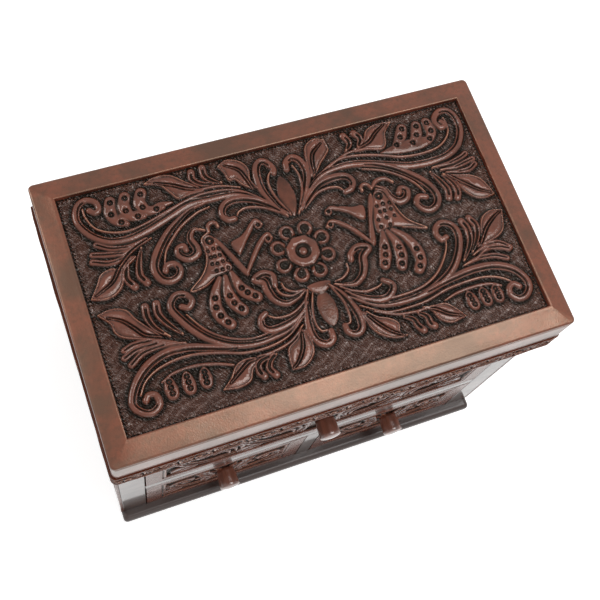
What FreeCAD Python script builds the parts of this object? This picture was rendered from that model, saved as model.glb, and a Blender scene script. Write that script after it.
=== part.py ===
"""Leather-covered jewelry box: a hinged lid over a lined compartment, one wide drawer and two half-width drawers.

Everything is laid out about the middle of the lid, with the table at z = 0 and the front towards -Y.
At the end the whole box is moved so that its origin is the bottom centre of its bounding box.
"""
import FreeCAD, Part
import os

Vector = FreeCAD.Vector

# ---- Driving dimensions, in millimetres ----

# Lid
lid_width = 240.0
lid_depth = 146.0
lid_height = 25.2
lid_frame_width = 11.5       # smooth leather frame round the tooled panel
lid_frame_drop = 2.4         # how far the frame falls from its inner to its outer edge
lid_edge_radius = 2.0        # rounding of the frame's outer top edge
lid_corner_radius = 2.5      # rounding of the lid's upright corners
lid_board_thickness = 6.0
panel_recess = 2.5           # tooled ground below the frame's inner edge
tooled_leather_thickness = 2.0
relief_height = 2.2          # tooled relief above its ground
mirror_thickness = 3.0
mirror_border = 9.0          # width of the cloth-covered surround
surround_thickness = 3.6

# Case
front_setback = 6.5          # drawer fronts behind the lid's front
side_inset = 1.2             # case sides inside the lid's sides
back_inset = 1.2
case_leather_thickness = 1.5
side_board_thickness = 8.0
back_panel_thickness = 6.0
face_frame_thickness = 8.0   # stiles and rails round the drawers
stile_width = 15.8
shelf_thickness = 8.8
divider_thickness = 8.8
compartment_floor_thickness = 5.0
rim_height = 13.8            # tooled rim under the lid
rim_relief = 0.6             # how far its tooling stands out past the lid
guide_height = 12.0

# Heights of the spaces, from the base up
felt_thickness = 1.0
base_thickness = 8.0
lower_bay_height = 56.6
upper_bay_height = 54.2
compartment_depth = 29.7

# Base
base_nose_radius = 3.2       # rounded front edge
base_corner_radius = 2.5
felt_inset = 5.0

# Drawers
drawer_front_thickness = 7.0
facing_thickness = 2.4       # leather facing with its tooled panel
facing_margin_x = 11.5       # smooth border beside the tooled panel
facing_margin_z = 8.0        # smooth border above and below it
facing_recess = 1.3
drawer_side_thickness = 5.0
drawer_back_thickness = 5.0
drawer_bottom_thickness = 4.0
drawer_side_drop = 4.0       # sides lower than the front
lining_thickness = 1.0

# Knobs
knob_diameter = 12.0
knob_reach = 11.0            # from the drawer front's face to the knob's face
knob_edge_radius = 0.8
tenon_diameter = 5.0

# Hinges
hinge_length = 26.0
hinge_leaf_height = 11.5
hinge_leaf_thickness = 1.2
knuckle_radius = 2.4
hinge_pin_radius = 1.1
knuckle_count = 5
hinge_offset = 72.0          # each hinge's middle from the lid's middle
lid_open_angle = 100.0
stop_lug_reach = 4.2         # from the pin's axis
screw_offset = 7.5           # each screw from its hinge's middle
screw_shank_radius = 1.0
screw_head_radius = 2.0
screw_head_depth = 1.0
screw_length = 8.0

# ---- Clearances ----
lid_seat_gap = 0.3           # closed lid above the case
drawer_side_gap = 0.6        # drawer to stile, guide and divider
drawer_top_gap = 0.6
drawer_seat_gap = 0.3        # drawer above what it slides on
drawer_back_gap = 0.8
pin_gap = 0.05               # hinge pin in its knuckles
tenon_gap = 0.05             # knob's tenon in its hole
knuckle_gap = 0.2            # between neighbouring knuckles
barrel_gap = 0.3             # leaf's edge to the other leaf's knuckles
screw_gap = 0.05
lug_gap = 0.2                # open lid's stop lug to the case's leaf

# ---- Places worked out from the sizes ----
lid_half = lid_width / 2
lid_front = -lid_depth / 2
lid_back = lid_depth / 2

case_half = lid_half - side_inset
board_outer = case_half - case_leather_thickness
board_inner = board_outer - side_board_thickness
bay_half = case_half - stile_width

face_y = lid_front + front_setback
frame_back_y = face_y + face_frame_thickness
case_back = lid_back - back_inset
panel_outer_y = case_back - case_leather_thickness
panel_inner_y = panel_outer_y - back_panel_thickness

base_bottom = felt_thickness
base_top = base_bottom + base_thickness
shelf_bottom = base_top + lower_bay_height
shelf_top = shelf_bottom + shelf_thickness
floor_bottom = shelf_top + upper_bay_height
floor_top = floor_bottom + compartment_floor_thickness
case_top = floor_top + compartment_depth
rim_bottom = case_top - rim_height

lid_bottom = case_top + lid_seat_gap
lid_top = case_top + lid_height
lid_inner_half = lid_half - lid_frame_width
lid_inner_front = lid_front + lid_frame_width
lid_inner_back = lid_back - lid_frame_width
panel_bottom = lid_top - panel_recess - tooled_leather_thickness
lid_board_bottom = panel_bottom - lid_board_thickness

hinge_y = lid_back + knuckle_radius
hinge_z = case_top + lid_seat_gap / 2


def box(x0, x1, y0, y1, z0, z1):
    """Block between two opposite corners."""
    return Part.makeBox(x1 - x0, y1 - y0, z1 - z0, Vector(x0, y0, z0))


def edges_along(shape, axis, test):
    """Straight edges of a shape that run along an axis and whose middle passes the test."""
    found = []
    for edge in shape.Edges:
        if len(edge.Vertexes) != 2:
            continue
        run = edge.Vertexes[1].Point - edge.Vertexes[0].Point
        if abs(abs(run.normalize().dot(axis)) - 1) < 1e-6 and test(edge.CenterOfMass):
            found.append(edge)
    return found


def cylinder(radius, start, direction, length):
    return Part.makeCylinder(radius, length, start, direction)


# ---- Base and case ----

def base_board():
    """Plinth board, flush with the lid in front, with a rounded front edge."""
    board = box(-case_half, case_half, lid_front, case_back, base_bottom, base_top)
    uprights = edges_along(board, Vector(0, 0, 1), lambda p: p.y < 0)
    board = board.makeFillet(base_corner_radius, uprights)
    nose = edges_along(board, Vector(1, 0, 0), lambda p: p.y < 0)
    return board.makeFillet(base_nose_radius, nose)


def base_felt():
    return box(-case_half + felt_inset, case_half - felt_inset, lid_front + felt_inset, case_back - felt_inset,
               0, base_bottom)


def side_board(side):
    x0, x1 = sorted((side * board_inner, side * board_outer))
    return box(x0, x1, frame_back_y, panel_outer_y, base_top, case_top)


def back_panel():
    panel = box(-board_inner, board_inner, panel_inner_y, panel_outer_y, base_top, case_top)
    return panel.cut(screw_holes(case_screw_places()))


def stile(side):
    x0, x1 = sorted((side * bay_half, side * board_outer))
    return box(x0, x1, face_y, frame_back_y, base_top, case_top)


def compartment_front():
    return box(-bay_half, bay_half, face_y, frame_back_y, floor_bottom, case_top)


def compartment_floor():
    return box(-board_inner, board_inner, frame_back_y, panel_inner_y, floor_bottom, floor_top)


def mid_rail():
    return box(-bay_half, bay_half, face_y, frame_back_y, shelf_bottom, shelf_top)


def shelf():
    return box(-board_inner, board_inner, frame_back_y, panel_inner_y, shelf_bottom, shelf_top)


def divider():
    half = divider_thickness / 2
    return box(-half, half, face_y, panel_inner_y, base_top, shelf_bottom)


def drawer_guides():
    """Strips that keep the drawers in line with the stiles: two on the shelf and two on the base."""
    strips = []
    for z in (base_top, shelf_top):
        for side in (-1, 1):
            x0, x1 = sorted((side * bay_half, side * board_inner))
            strips.append(box(x0, x1, frame_back_y, panel_inner_y, z, z + guide_height))
    return Part.makeCompound(strips)


def front_rim():
    """Tooled rim in front, which brings the case out to the lid."""
    reach = lid_half + rim_relief
    return box(-reach, reach, lid_front - rim_relief, face_y, rim_bottom, case_top)


def side_rim(side):
    x0, x1 = sorted((side * board_outer, side * (lid_half + rim_relief)))
    return box(x0, x1, face_y, lid_back, rim_bottom, case_top)


def back_rim():
    rim = box(-board_outer, board_outer, panel_outer_y, lid_back, rim_bottom, case_top)
    return rim.cut(screw_holes(case_screw_places()))


def side_leather(side):
    x0, x1 = sorted((side * board_outer, side * case_half))
    return box(x0, x1, face_y, case_back, base_top, rim_bottom)


def back_leather():
    return box(-board_outer, board_outer, panel_outer_y, case_back, base_top, rim_bottom)


def compartment_floor_lining():
    return box(-board_inner, board_inner, frame_back_y, panel_inner_y, floor_top, floor_top + lining_thickness)


def compartment_wall_lining():
    """Four cloth-covered strips that stand on the floor lining, the long ones between the short ones."""
    z0 = floor_top + lining_thickness
    short_inner = board_inner - lining_thickness
    strips = [
        box(-board_inner, -short_inner, frame_back_y, panel_inner_y, z0, case_top),
        box(short_inner, board_inner, frame_back_y, panel_inner_y, z0, case_top),
        box(-short_inner, short_inner, frame_back_y, frame_back_y + lining_thickness, z0, case_top),
        box(-short_inner, short_inner, panel_inner_y - lining_thickness, panel_inner_y, z0, case_top),
    ]
    return Part.makeCompound(strips)


# ---- Lid ----

def lid_rail_blank(length, across):
    """Rail of the lid's frame before it is mitred: it runs along +X, with its outer face at y = 0."""
    outline = [Vector(0, 0, lid_bottom), Vector(0, 0, lid_top - lid_frame_drop),
               Vector(0, across, lid_top), Vector(0, across, lid_bottom)]
    section = Part.Face(Part.makePolygon(outline + outline[:1]))
    rail = section.extrude(Vector(length, 0, 0))
    outer_top = edges_along(rail, Vector(1, 0, 0), lambda p: p.y < 1e-6 and p.z > case_top + lid_height / 2)
    return rail.makeFillet(lid_edge_radius, outer_top)


def mitre(length):
    """Trapezium that cuts a rail's ends at 45 degrees: it lies over a rail of this length."""
    inset = lid_frame_width
    outline = [Vector(0, 0, 0), Vector(length, 0, 0), Vector(length - inset, inset, 0), Vector(inset, inset, 0)]
    face = Part.Face(Part.makePolygon(outline + outline[:1]))
    return face.extrude(Vector(0, 0, lid_top))


def lid_outline():
    """Whole lid as a block with rounded upright corners, which rounds the rails' ends."""
    block = box(-lid_half, lid_half, lid_front, lid_back, lid_bottom, lid_top)
    return block.makeFillet(lid_corner_radius, edges_along(block, Vector(0, 0, 1), lambda p: True))


def lid_rail(length, turn, corner):
    """Mitred rail, turned about +Z and moved so that its first end lies at a corner of the lid."""
    rail = lid_rail_blank(length, lid_frame_width).common(mitre(length))
    rail.rotate(Vector(0, 0, 0), Vector(0, 0, 1), turn)
    rail.translate(corner)
    return rail.common(lid_outline())


def lid_back_rail():
    rail = lid_rail(lid_width, 180, Vector(lid_half, lid_back, 0))
    return rail.cut(screw_holes(lid_screw_places()))


def lid_board():
    return box(-lid_inner_half, lid_inner_half, lid_inner_front, lid_inner_back, lid_board_bottom, panel_bottom)


def lid_tooled_panel():
    """Tooled leather panel, up to the top of its relief."""
    top = lid_top - panel_recess + relief_height
    return box(-lid_inner_half, lid_inner_half, lid_inner_front, lid_inner_back, panel_bottom, top)


def lid_mirror():
    half = lid_inner_half - mirror_border
    return box(-half, half, lid_inner_front + mirror_border, lid_inner_back - mirror_border,
               lid_board_bottom - mirror_thickness, lid_board_bottom)


def lid_mirror_surround():
    """Cloth-covered card round the mirror, between the lid's rails."""
    z0 = lid_board_bottom - surround_thickness
    card = box(-lid_inner_half, lid_inner_half, lid_inner_front, lid_inner_back, z0, lid_board_bottom)
    half = lid_inner_half - mirror_border
    window = box(-half, half, lid_inner_front + mirror_border, lid_inner_back - mirror_border, z0, lid_board_bottom)
    return card.cut(window)


# ---- Hinges ----

def hinge_middles():
    return (-hinge_offset, hinge_offset)


def screw_places(z):
    """Where the screws of both hinges go through the leaves' outer face, at one height."""
    y = lid_back + hinge_leaf_thickness
    return [Vector(middle + step, y, z) for middle in hinge_middles() for step in (-screw_offset, screw_offset)]


def leaf_middle_height():
    """Height of a leaf's screws from the pin's axis: the middle of its flat part."""
    return (knuckle_radius + barrel_gap + hinge_leaf_height) / 2


def case_screw_places():
    return screw_places(hinge_z - leaf_middle_height())


def lid_screw_places():
    return screw_places(hinge_z + leaf_middle_height())


def screw(place, gap):
    """Countersunk screw that runs forwards from its head's face, larger all round by a gap."""
    forwards = Vector(0, -1, 0)
    head = Part.makeCone(screw_head_radius + gap, screw_shank_radius + gap, screw_head_depth, place, forwards)
    shank = cylinder(screw_shank_radius + gap, place, forwards, screw_length + gap)
    return head.fuse(shank).removeSplitter()


def screw_holes(places):
    return Part.makeCompound([screw(place, screw_gap) for place in places])


def screws(places):
    return Part.makeCompound([screw(place, 0) for place in places])


def knuckle_spans(first):
    """Ends of every other knuckle along X from the hinge's middle, starting with the first or second."""
    pitch = hinge_length / knuckle_count
    spans = []
    for index in range(first, knuckle_count, 2):
        start = -hinge_length / 2 + index * pitch
        spans.append((start + knuckle_gap / 2, start + pitch - knuckle_gap / 2))
    return spans


def stop_lug(x0, x1):
    """Lug that meets the case's leaf when the lid is open, drawn there and turned back to the closed lid."""
    leaf_face = lid_back + hinge_leaf_thickness
    lug = box(x0, x1, leaf_face + lug_gap, hinge_y + hinge_pin_radius, hinge_z - stop_lug_reach, hinge_z)
    lug.rotate(Vector(0, hinge_y, hinge_z), Vector(1, 0, 0), lid_open_angle)
    return lug


def hinge_leaf(up, first, middle):
    """Leaf above or below the pin, with its share of the knuckles."""
    near = hinge_z + up * (knuckle_radius + barrel_gap)
    far = hinge_z + up * hinge_leaf_height
    z0, z1 = sorted((near, far))
    half = hinge_length / 2
    leaf = box(-half, half, lid_back, lid_back + hinge_leaf_thickness, z0, z1)
    for x0, x1 in knuckle_spans(first):
        low, high = sorted((hinge_z, near))
        leaf = leaf.fuse(box(x0, x1, lid_back, lid_back + hinge_leaf_thickness, low, high))
        leaf = leaf.fuse(cylinder(knuckle_radius, Vector(x0, hinge_y, hinge_z), Vector(1, 0, 0), x1 - x0))
        if up > 0:
            leaf = leaf.fuse(stop_lug(x0, x1))
    bore = cylinder(hinge_pin_radius + pin_gap, Vector(-half, hinge_y, hinge_z), Vector(1, 0, 0), hinge_length)
    leaf = leaf.cut(bore).removeSplitter()
    leaf.translate(Vector(middle, 0, 0))
    return leaf


def hinge_leaves(up, first, holes):
    leaves = [hinge_leaf(up, first, middle).cut(holes) for middle in hinge_middles()]
    return Part.makeCompound(leaves)


def hinge_pins():
    start = -hinge_length / 2
    return Part.makeCompound([
        cylinder(hinge_pin_radius, Vector(middle + start, hinge_y, hinge_z), Vector(1, 0, 0), hinge_length)
        for middle in hinge_middles()])


# ---- Drawers ----

def drawer_bounds(bay):
    """Outside of a drawer in its bay: x0, x1, z0, z1."""
    half = divider_thickness / 2
    spans = {"upper": (-bay_half, bay_half), "lower_left": (-bay_half, -half), "lower_right": (half, bay_half)}
    x0, x1 = spans[bay]
    z0, z1 = (shelf_top, floor_bottom) if bay == "upper" else (base_top, shelf_bottom)
    return x0 + drawer_side_gap, x1 - drawer_side_gap, z0 + drawer_seat_gap, z1 - drawer_top_gap


def tenon_hole(bounds):
    """Hole for the knob's tenon, through the facing and the front."""
    x0, x1, z0, z1 = bounds
    length = facing_thickness + drawer_front_thickness
    return cylinder(tenon_diameter / 2 + tenon_gap, Vector((x0 + x1) / 2, face_y, (z0 + z1) / 2),
                    Vector(0, 1, 0), length)


def drawer_facing(bounds):
    """Leather facing: a smooth border round a sunken panel."""
    x0, x1, z0, z1 = bounds
    facing = box(x0, x1, face_y, face_y + facing_thickness, z0, z1)
    sunk = box(x0 + facing_margin_x, x1 - facing_margin_x, face_y, face_y + facing_recess,
               z0 + facing_margin_z, z1 - facing_margin_z)
    return facing.cut(sunk).cut(tenon_hole(bounds))


def drawer_front(bounds):
    x0, x1, z0, z1 = bounds
    y0 = face_y + facing_thickness
    return box(x0, x1, y0, y0 + drawer_front_thickness, z0, z1).cut(tenon_hole(bounds))


def drawer_inner_y():
    """Inner face of a drawer's front, and the outer face of its back."""
    return face_y + facing_thickness + drawer_front_thickness, panel_inner_y - drawer_back_gap


def drawer_side(bounds, side):
    x0, x1, z0, z1 = bounds
    y0, y1 = drawer_inner_y()
    if side < 0:
        return box(x0, x0 + drawer_side_thickness, y0, y1, z0, z1 - drawer_side_drop)
    return box(x1 - drawer_side_thickness, x1, y0, y1, z0, z1 - drawer_side_drop)


def drawer_back(bounds):
    x0, x1, z0, z1 = bounds
    y1 = drawer_inner_y()[1]
    return box(x0 + drawer_side_thickness, x1 - drawer_side_thickness, y1 - drawer_back_thickness, y1,
               z0, z1 - drawer_side_drop)


def drawer_floor(bounds, low, thickness):
    """Flat piece that fills a drawer between its front, sides and back."""
    x0, x1, z0, z1 = bounds
    y0, y1 = drawer_inner_y()
    return box(x0 + drawer_side_thickness, x1 - drawer_side_thickness, y0, y1 - drawer_back_thickness,
               z0 + low, z0 + low + thickness)


def drawer_bottom(bounds):
    return drawer_floor(bounds, 0, drawer_bottom_thickness)


def drawer_lining(bounds):
    return drawer_floor(bounds, drawer_bottom_thickness, lining_thickness)


def drawer_knob(bounds):
    """Turned knob with a tenon that fills its hole through the facing and the front."""
    x0, x1, z0, z1 = bounds
    middle = Vector((x0 + x1) / 2, 0, (z0 + z1) / 2)
    root = face_y + facing_recess
    head = cylinder(knob_diameter / 2, middle + Vector(0, root, 0), Vector(0, -1, 0), knob_reach + facing_recess)
    rim = [edge for edge in head.Edges if abs(edge.CenterOfMass.y - (face_y - knob_reach)) < 1e-6]
    head = head.makeFillet(knob_edge_radius, rim)
    end = face_y + facing_thickness + drawer_front_thickness
    tenon = cylinder(tenon_diameter / 2, middle + Vector(0, root, 0), Vector(0, 1, 0), end - root)
    return head.fuse(tenon).removeSplitter()


def drawer_parts(bay):
    bounds = drawer_bounds(bay)
    return {
        bay + "_drawer_facing": drawer_facing(bounds),
        bay + "_drawer_front": drawer_front(bounds),
        bay + "_drawer_left_side": drawer_side(bounds, -1),
        bay + "_drawer_right_side": drawer_side(bounds, 1),
        bay + "_drawer_back": drawer_back(bounds),
        bay + "_drawer_bottom": drawer_bottom(bounds),
        bay + "_drawer_lining": drawer_lining(bounds),
        bay + "_drawer_knob": drawer_knob(bounds),
    }


# ---- The whole box ----

def all_parts():
    parts = {
        "base_board": base_board(),
        "base_felt": base_felt(),
        "left_side_board": side_board(-1),
        "right_side_board": side_board(1),
        "back_panel": back_panel(),
        "left_stile": stile(-1),
        "right_stile": stile(1),
        "compartment_front": compartment_front(),
        "compartment_floor": compartment_floor(),
        "mid_rail": mid_rail(),
        "shelf": shelf(),
        "divider": divider(),
        "drawer_guides": drawer_guides(),
        "front_rim": front_rim(),
        "left_rim": side_rim(-1),
        "right_rim": side_rim(1),
        "back_rim": back_rim(),
        "left_leather": side_leather(-1),
        "right_leather": side_leather(1),
        "back_leather": back_leather(),
        "compartment_floor_lining": compartment_floor_lining(),
        "compartment_wall_lining": compartment_wall_lining(),
        "lid_front_rail": lid_rail(lid_width, 0, Vector(-lid_half, lid_front, 0)),
        "lid_right_rail": lid_rail(lid_depth, 90, Vector(lid_half, lid_front, 0)),
        "lid_back_rail": lid_back_rail(),
        "lid_left_rail": lid_rail(lid_depth, 270, Vector(-lid_half, lid_back, 0)),
        "lid_board": lid_board(),
        "lid_tooled_panel": lid_tooled_panel(),
        "lid_mirror": lid_mirror(),
        "lid_mirror_surround": lid_mirror_surround(),
        "hinge_case_leaves": hinge_leaves(-1, 0, screw_holes(case_screw_places())),
        "hinge_lid_leaves": hinge_leaves(1, 1, screw_holes(lid_screw_places())),
        "hinge_pins": hinge_pins(),
        "hinge_case_screws": screws(case_screw_places()),
        "hinge_lid_screws": screws(lid_screw_places()),
    }
    for bay in ("upper", "lower_left", "lower_right"):
        parts.update(drawer_parts(bay))
    return parts


def origin_move(parts):
    """Move that brings the bottom centre of the bounding box to the origin."""
    bounds = Part.makeCompound(list(parts.values())).BoundBox
    return Vector(-bounds.Center.x, -bounds.Center.y, -bounds.ZMin)


os.makedirs("parts", exist_ok=True)
built = all_parts()
move = origin_move(built)
for name, shape in built.items():
    shape.translate(move)
    shape.exportStep("parts/" + name + ".step")
whole = Part.makeCompound(list(built.values())).BoundBox
print(len(built), "parts", round(whole.XLength, 2), round(whole.YLength, 2), round(whole.ZLength, 2))
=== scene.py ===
"""Jewelry box in tooled leather: its leather, wood, cloth, glass and brass, built round the fixed frame.

Each piece or group of like pieces has an operator, and main() runs them in order.
"""

import math

import bpy
import numpy as np
from bpy.props import FloatProperty, FloatVectorProperty, PointerProperty
from bpy.types import Operator, Panel, PropertyGroup
from mathutils import Matrix, Vector


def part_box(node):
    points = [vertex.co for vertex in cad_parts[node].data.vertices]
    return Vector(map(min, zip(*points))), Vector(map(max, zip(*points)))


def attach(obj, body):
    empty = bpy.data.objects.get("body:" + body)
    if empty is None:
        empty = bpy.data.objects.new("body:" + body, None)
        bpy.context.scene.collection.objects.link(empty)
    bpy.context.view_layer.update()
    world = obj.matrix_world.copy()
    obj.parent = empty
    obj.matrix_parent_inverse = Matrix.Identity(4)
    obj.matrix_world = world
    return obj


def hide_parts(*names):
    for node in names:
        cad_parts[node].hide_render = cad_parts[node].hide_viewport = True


bl_info = {
    "name": "Tooled Leather Jewelry Box",
    "version": (1, 0, 0),
    "blender": (4, 5, 0),
    "location": "3D View > Sidebar > Jewelry Box",
    "description": "Builds the leather, wood, cloth, glass and brass of a jewelry box round its frame",
    "category": "Object",
}

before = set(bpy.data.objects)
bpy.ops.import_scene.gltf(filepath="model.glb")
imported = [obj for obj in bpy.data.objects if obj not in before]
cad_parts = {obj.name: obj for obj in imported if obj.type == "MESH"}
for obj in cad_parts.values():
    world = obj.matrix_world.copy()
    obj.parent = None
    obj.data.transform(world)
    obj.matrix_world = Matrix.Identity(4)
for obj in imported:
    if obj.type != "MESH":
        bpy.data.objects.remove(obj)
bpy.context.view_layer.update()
MM = 0.001


def linear(hex_colour):
    """Linear red, green and blue of an sRGB hex colour."""
    values = [int(hex_colour[i : i + 2], 16) / 255 for i in (1, 3, 5)]
    return tuple(v / 12.92 if v <= 0.04045 else ((v + 0.055) / 1.055) ** 2.4 for v in values)


def colour(name, hex_colour, description):
    return FloatVectorProperty(
        name=name, description=description, default=linear(hex_colour), subtype="COLOR", min=0.0, max=1.0
    )


def length(name, millimetres, description):
    return FloatProperty(name=name, description=description, default=millimetres * MM, unit="LENGTH", min=0.0)


# ---- Settings ----


class LeatherSettings(PropertyGroup):
    """Colours and tooling of the leather."""

    smooth: colour("Smooth leather", "#6f3323", "Dyed leather of the lid's frame and the back rim")
    smooth_dark: colour("Smooth leather, dark", "#32160f", "Where the dye lies deeper")
    case: colour("Case leather", "#472a1d", "Nearly black dye of the stiles and rails of the case")
    case_dark: colour("Case leather, dark", "#2a1710", "Where the dye of the case lies deeper")
    figure: colour("Tooled figures", "#88442c", "Raised figures, where the dye was rubbed back")
    # Paler crests: rubbing wear, and also a painted highlight
    rubbed: colour("Rubbed crests", "#c58b6c", "Crests of the figures, worn paler by rubbing")
    ground: colour("Tooled ground", "#633c2d", "Pressed ground away from the figures")
    # Dark paste in the cuts, also used as painted shade on the figures' sides, beside them and along the
    # panel's edge
    paste_and_shade_dark: colour("Antique", "#0d0b09", "Dark paste left in the cuts")
    relief: length("Relief", 2.2, "Height of the lid's figures above their ground")
    pore: length("Pore spacing", 0.8, "Spacing of the leather's pores")
    mark: length("Matting spacing", 1.25, "Spacing of the matting tool's lines on the ground")


class WoodSettings(PropertyGroup):
    """Colours of the wood."""

    base: colour("Base", "#291a15", "Stained and lacquered base board")
    base_light: colour("Base, light grain", "#3d2821", "Light grain of the base board")
    knob: colour("Knobs", "#8f5743", "Turned and stained knobs")
    knob_dark: colour("Knobs, dark grain", "#643a2c", "Dark grain of the knobs")
    inner: colour("Inner wood", "#9a6a45", "Boards and drawer boxes")
    inner_dark: colour("Inner wood, dark grain", "#7a4f31", "Dark grain of the boards")
    grain: length("Grain width", 1.6, "Width of one band of grain")


class TrimSettings(PropertyGroup):
    """Colours of the cloth, felt, brass and mirror."""

    lining: colour("Lining", "#6b2f2c", "Suede cloth of the drawers and the compartment")
    felt: colour("Felt", "#2c2320", "Felt under the base")
    brass: colour("Brass", "#b08a4a", "Pressed brass of the hinges")
    mirror: colour("Mirror", "#e6eae8", "Silvered glass in the lid")


class StageSettings(PropertyGroup):
    """Floor, lamps and camera."""

    floor: colour("Floor", "#f4f4f3", "Plain pale floor")
    power: FloatProperty(name="Lamps", description="Watts of the overhead lamps", default=9.2, min=0.0)
    sky: FloatProperty(name="Sky", description="Strength of the even light all round", default=0.22, min=0.0)
    lens: FloatProperty(name="Lens", description="Focal length in millimetres", default=58.18, min=10.0)


# ---- Materials ----

WARM = (1.0, 0.70, 0.48, 1.0)  # the wax takes up the dye, so its gloss is warm
WHITE = (1.0, 1.0, 1.0, 1.0)
MIX, FIRST, SECOND, MIXED = 0, 6, 7, 2  # places of a colour mix's factor, its two colours and its output


def per_mm(millimetres):
    """Scale of a noise or cell pattern whose features are this wide."""
    return 1 / (millimetres * MM)


def bands_every(millimetres):
    """Scale of a wave pattern with one band in this distance."""
    return math.pi / 10 / (millimetres * MM)


def rgba(values, share=1.0):
    """Colour with its alpha, made darker by a share."""
    return (*(share * v for v in values[:3]), 1.0)


def node(tree, kind, inputs=(), out=0, **settings):
    """Adds a shader node with its settings, and gives one of its outputs.

    Inputs go by name or by place, and each is a constant or another node's output.
    """
    added = tree.nodes.new("ShaderNode" + kind)
    for name, value in settings.items():
        setattr(added, name, value)
    for key, value in inputs.items() if isinstance(inputs, dict) else enumerate(inputs):
        if isinstance(value, bpy.types.NodeSocket):
            tree.links.new(value, added.inputs[key])
        else:
            added.inputs[key].default_value = value
    return added.outputs[out] if added.outputs else added


def new_material(name):
    """Empty node material, its tree, and the place of each point on the piece."""
    material = bpy.data.materials.new(name)
    material.use_nodes = True
    tree = material.node_tree
    tree.nodes.clear()
    return material, tree, node(tree, "TexCoord", out="Object")


def finish_surface(tree, **surface):
    """Principled surface with its constants on its own sockets, joined to the material's output."""
    inputs = {name.replace("_", " ").title().replace("Ior", "IOR"): value for name, value in surface.items()}
    node(tree, "OutputMaterial", {"Surface": node(tree, "BsdfPrincipled", inputs)})


def leather_grain(tree, place):
    """Height of the leather's pores and fine creases."""
    pore = bpy.context.scene.box_leather.pore / MM
    cells = node(tree, "TexVoronoi", {"Vector": place, "Scale": per_mm(pore)})
    creased = {"Vector": place, "Scale": per_mm(pore * 4), "Detail": 6.0, "Roughness": 0.6}
    return node(tree, "Math", (cells, node(tree, "TexNoise", creased)), operation="ADD")


def waxed_leather(name, light, dark, shine, coat, grain, grained_coat):
    """Vegetable-tanned leather, dyed by hand and waxed: a cloudy brown with fine pores and a warm gloss.

    shine is the leather's own gloss, coat the wax on it, and grain the depth of its pores.
    """
    material, tree, place = new_material(name)
    light, dark = rgba(light), rgba(dark)
    clouds = node(tree, "TexNoise", {"Vector": place, "Scale": per_mm(28), "Detail": 7.0, "Roughness": 0.62})
    deeper = node(tree, "MapRange", (clouds, 0.42, 0.6, 0.0, 0.85))
    clouded = node(tree, "Mix", {MIX: deeper, FIRST: light, SECOND: dark}, MIXED, data_type="RGBA")
    flecks = node(tree, "TexNoise", {"Vector": place, "Scale": per_mm(2.6), "Detail": 6.0, "Roughness": 0.7})
    specks = node(tree, "MapRange", (flecks, 0.47, 0.66, 0.0, 0.6))
    dyed = node(tree, "Mix", {MIX: specks, FIRST: clouded, SECOND: dark}, MIXED, data_type="RGBA")
    pores = leather_grain(tree, place)
    bump = node(tree, "Bump", {"Height": pores, "Strength": grain, "Distance": 0.12 * MM})
    wax = {"coat_normal": bump} if grained_coat else {}
    finish_surface(
        tree,
        base_color=dyed,
        normal=bump,
        roughness=node(tree, "MapRange", (clouds, 0.3, 0.7, 0.26, 0.36)),
        ior=1.5,
        specular_ior_level=shine,
        specular_tint=WARM,
        coat_weight=coat,
        coat_roughness=0.06,
        **wax,
    )
    return material


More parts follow.
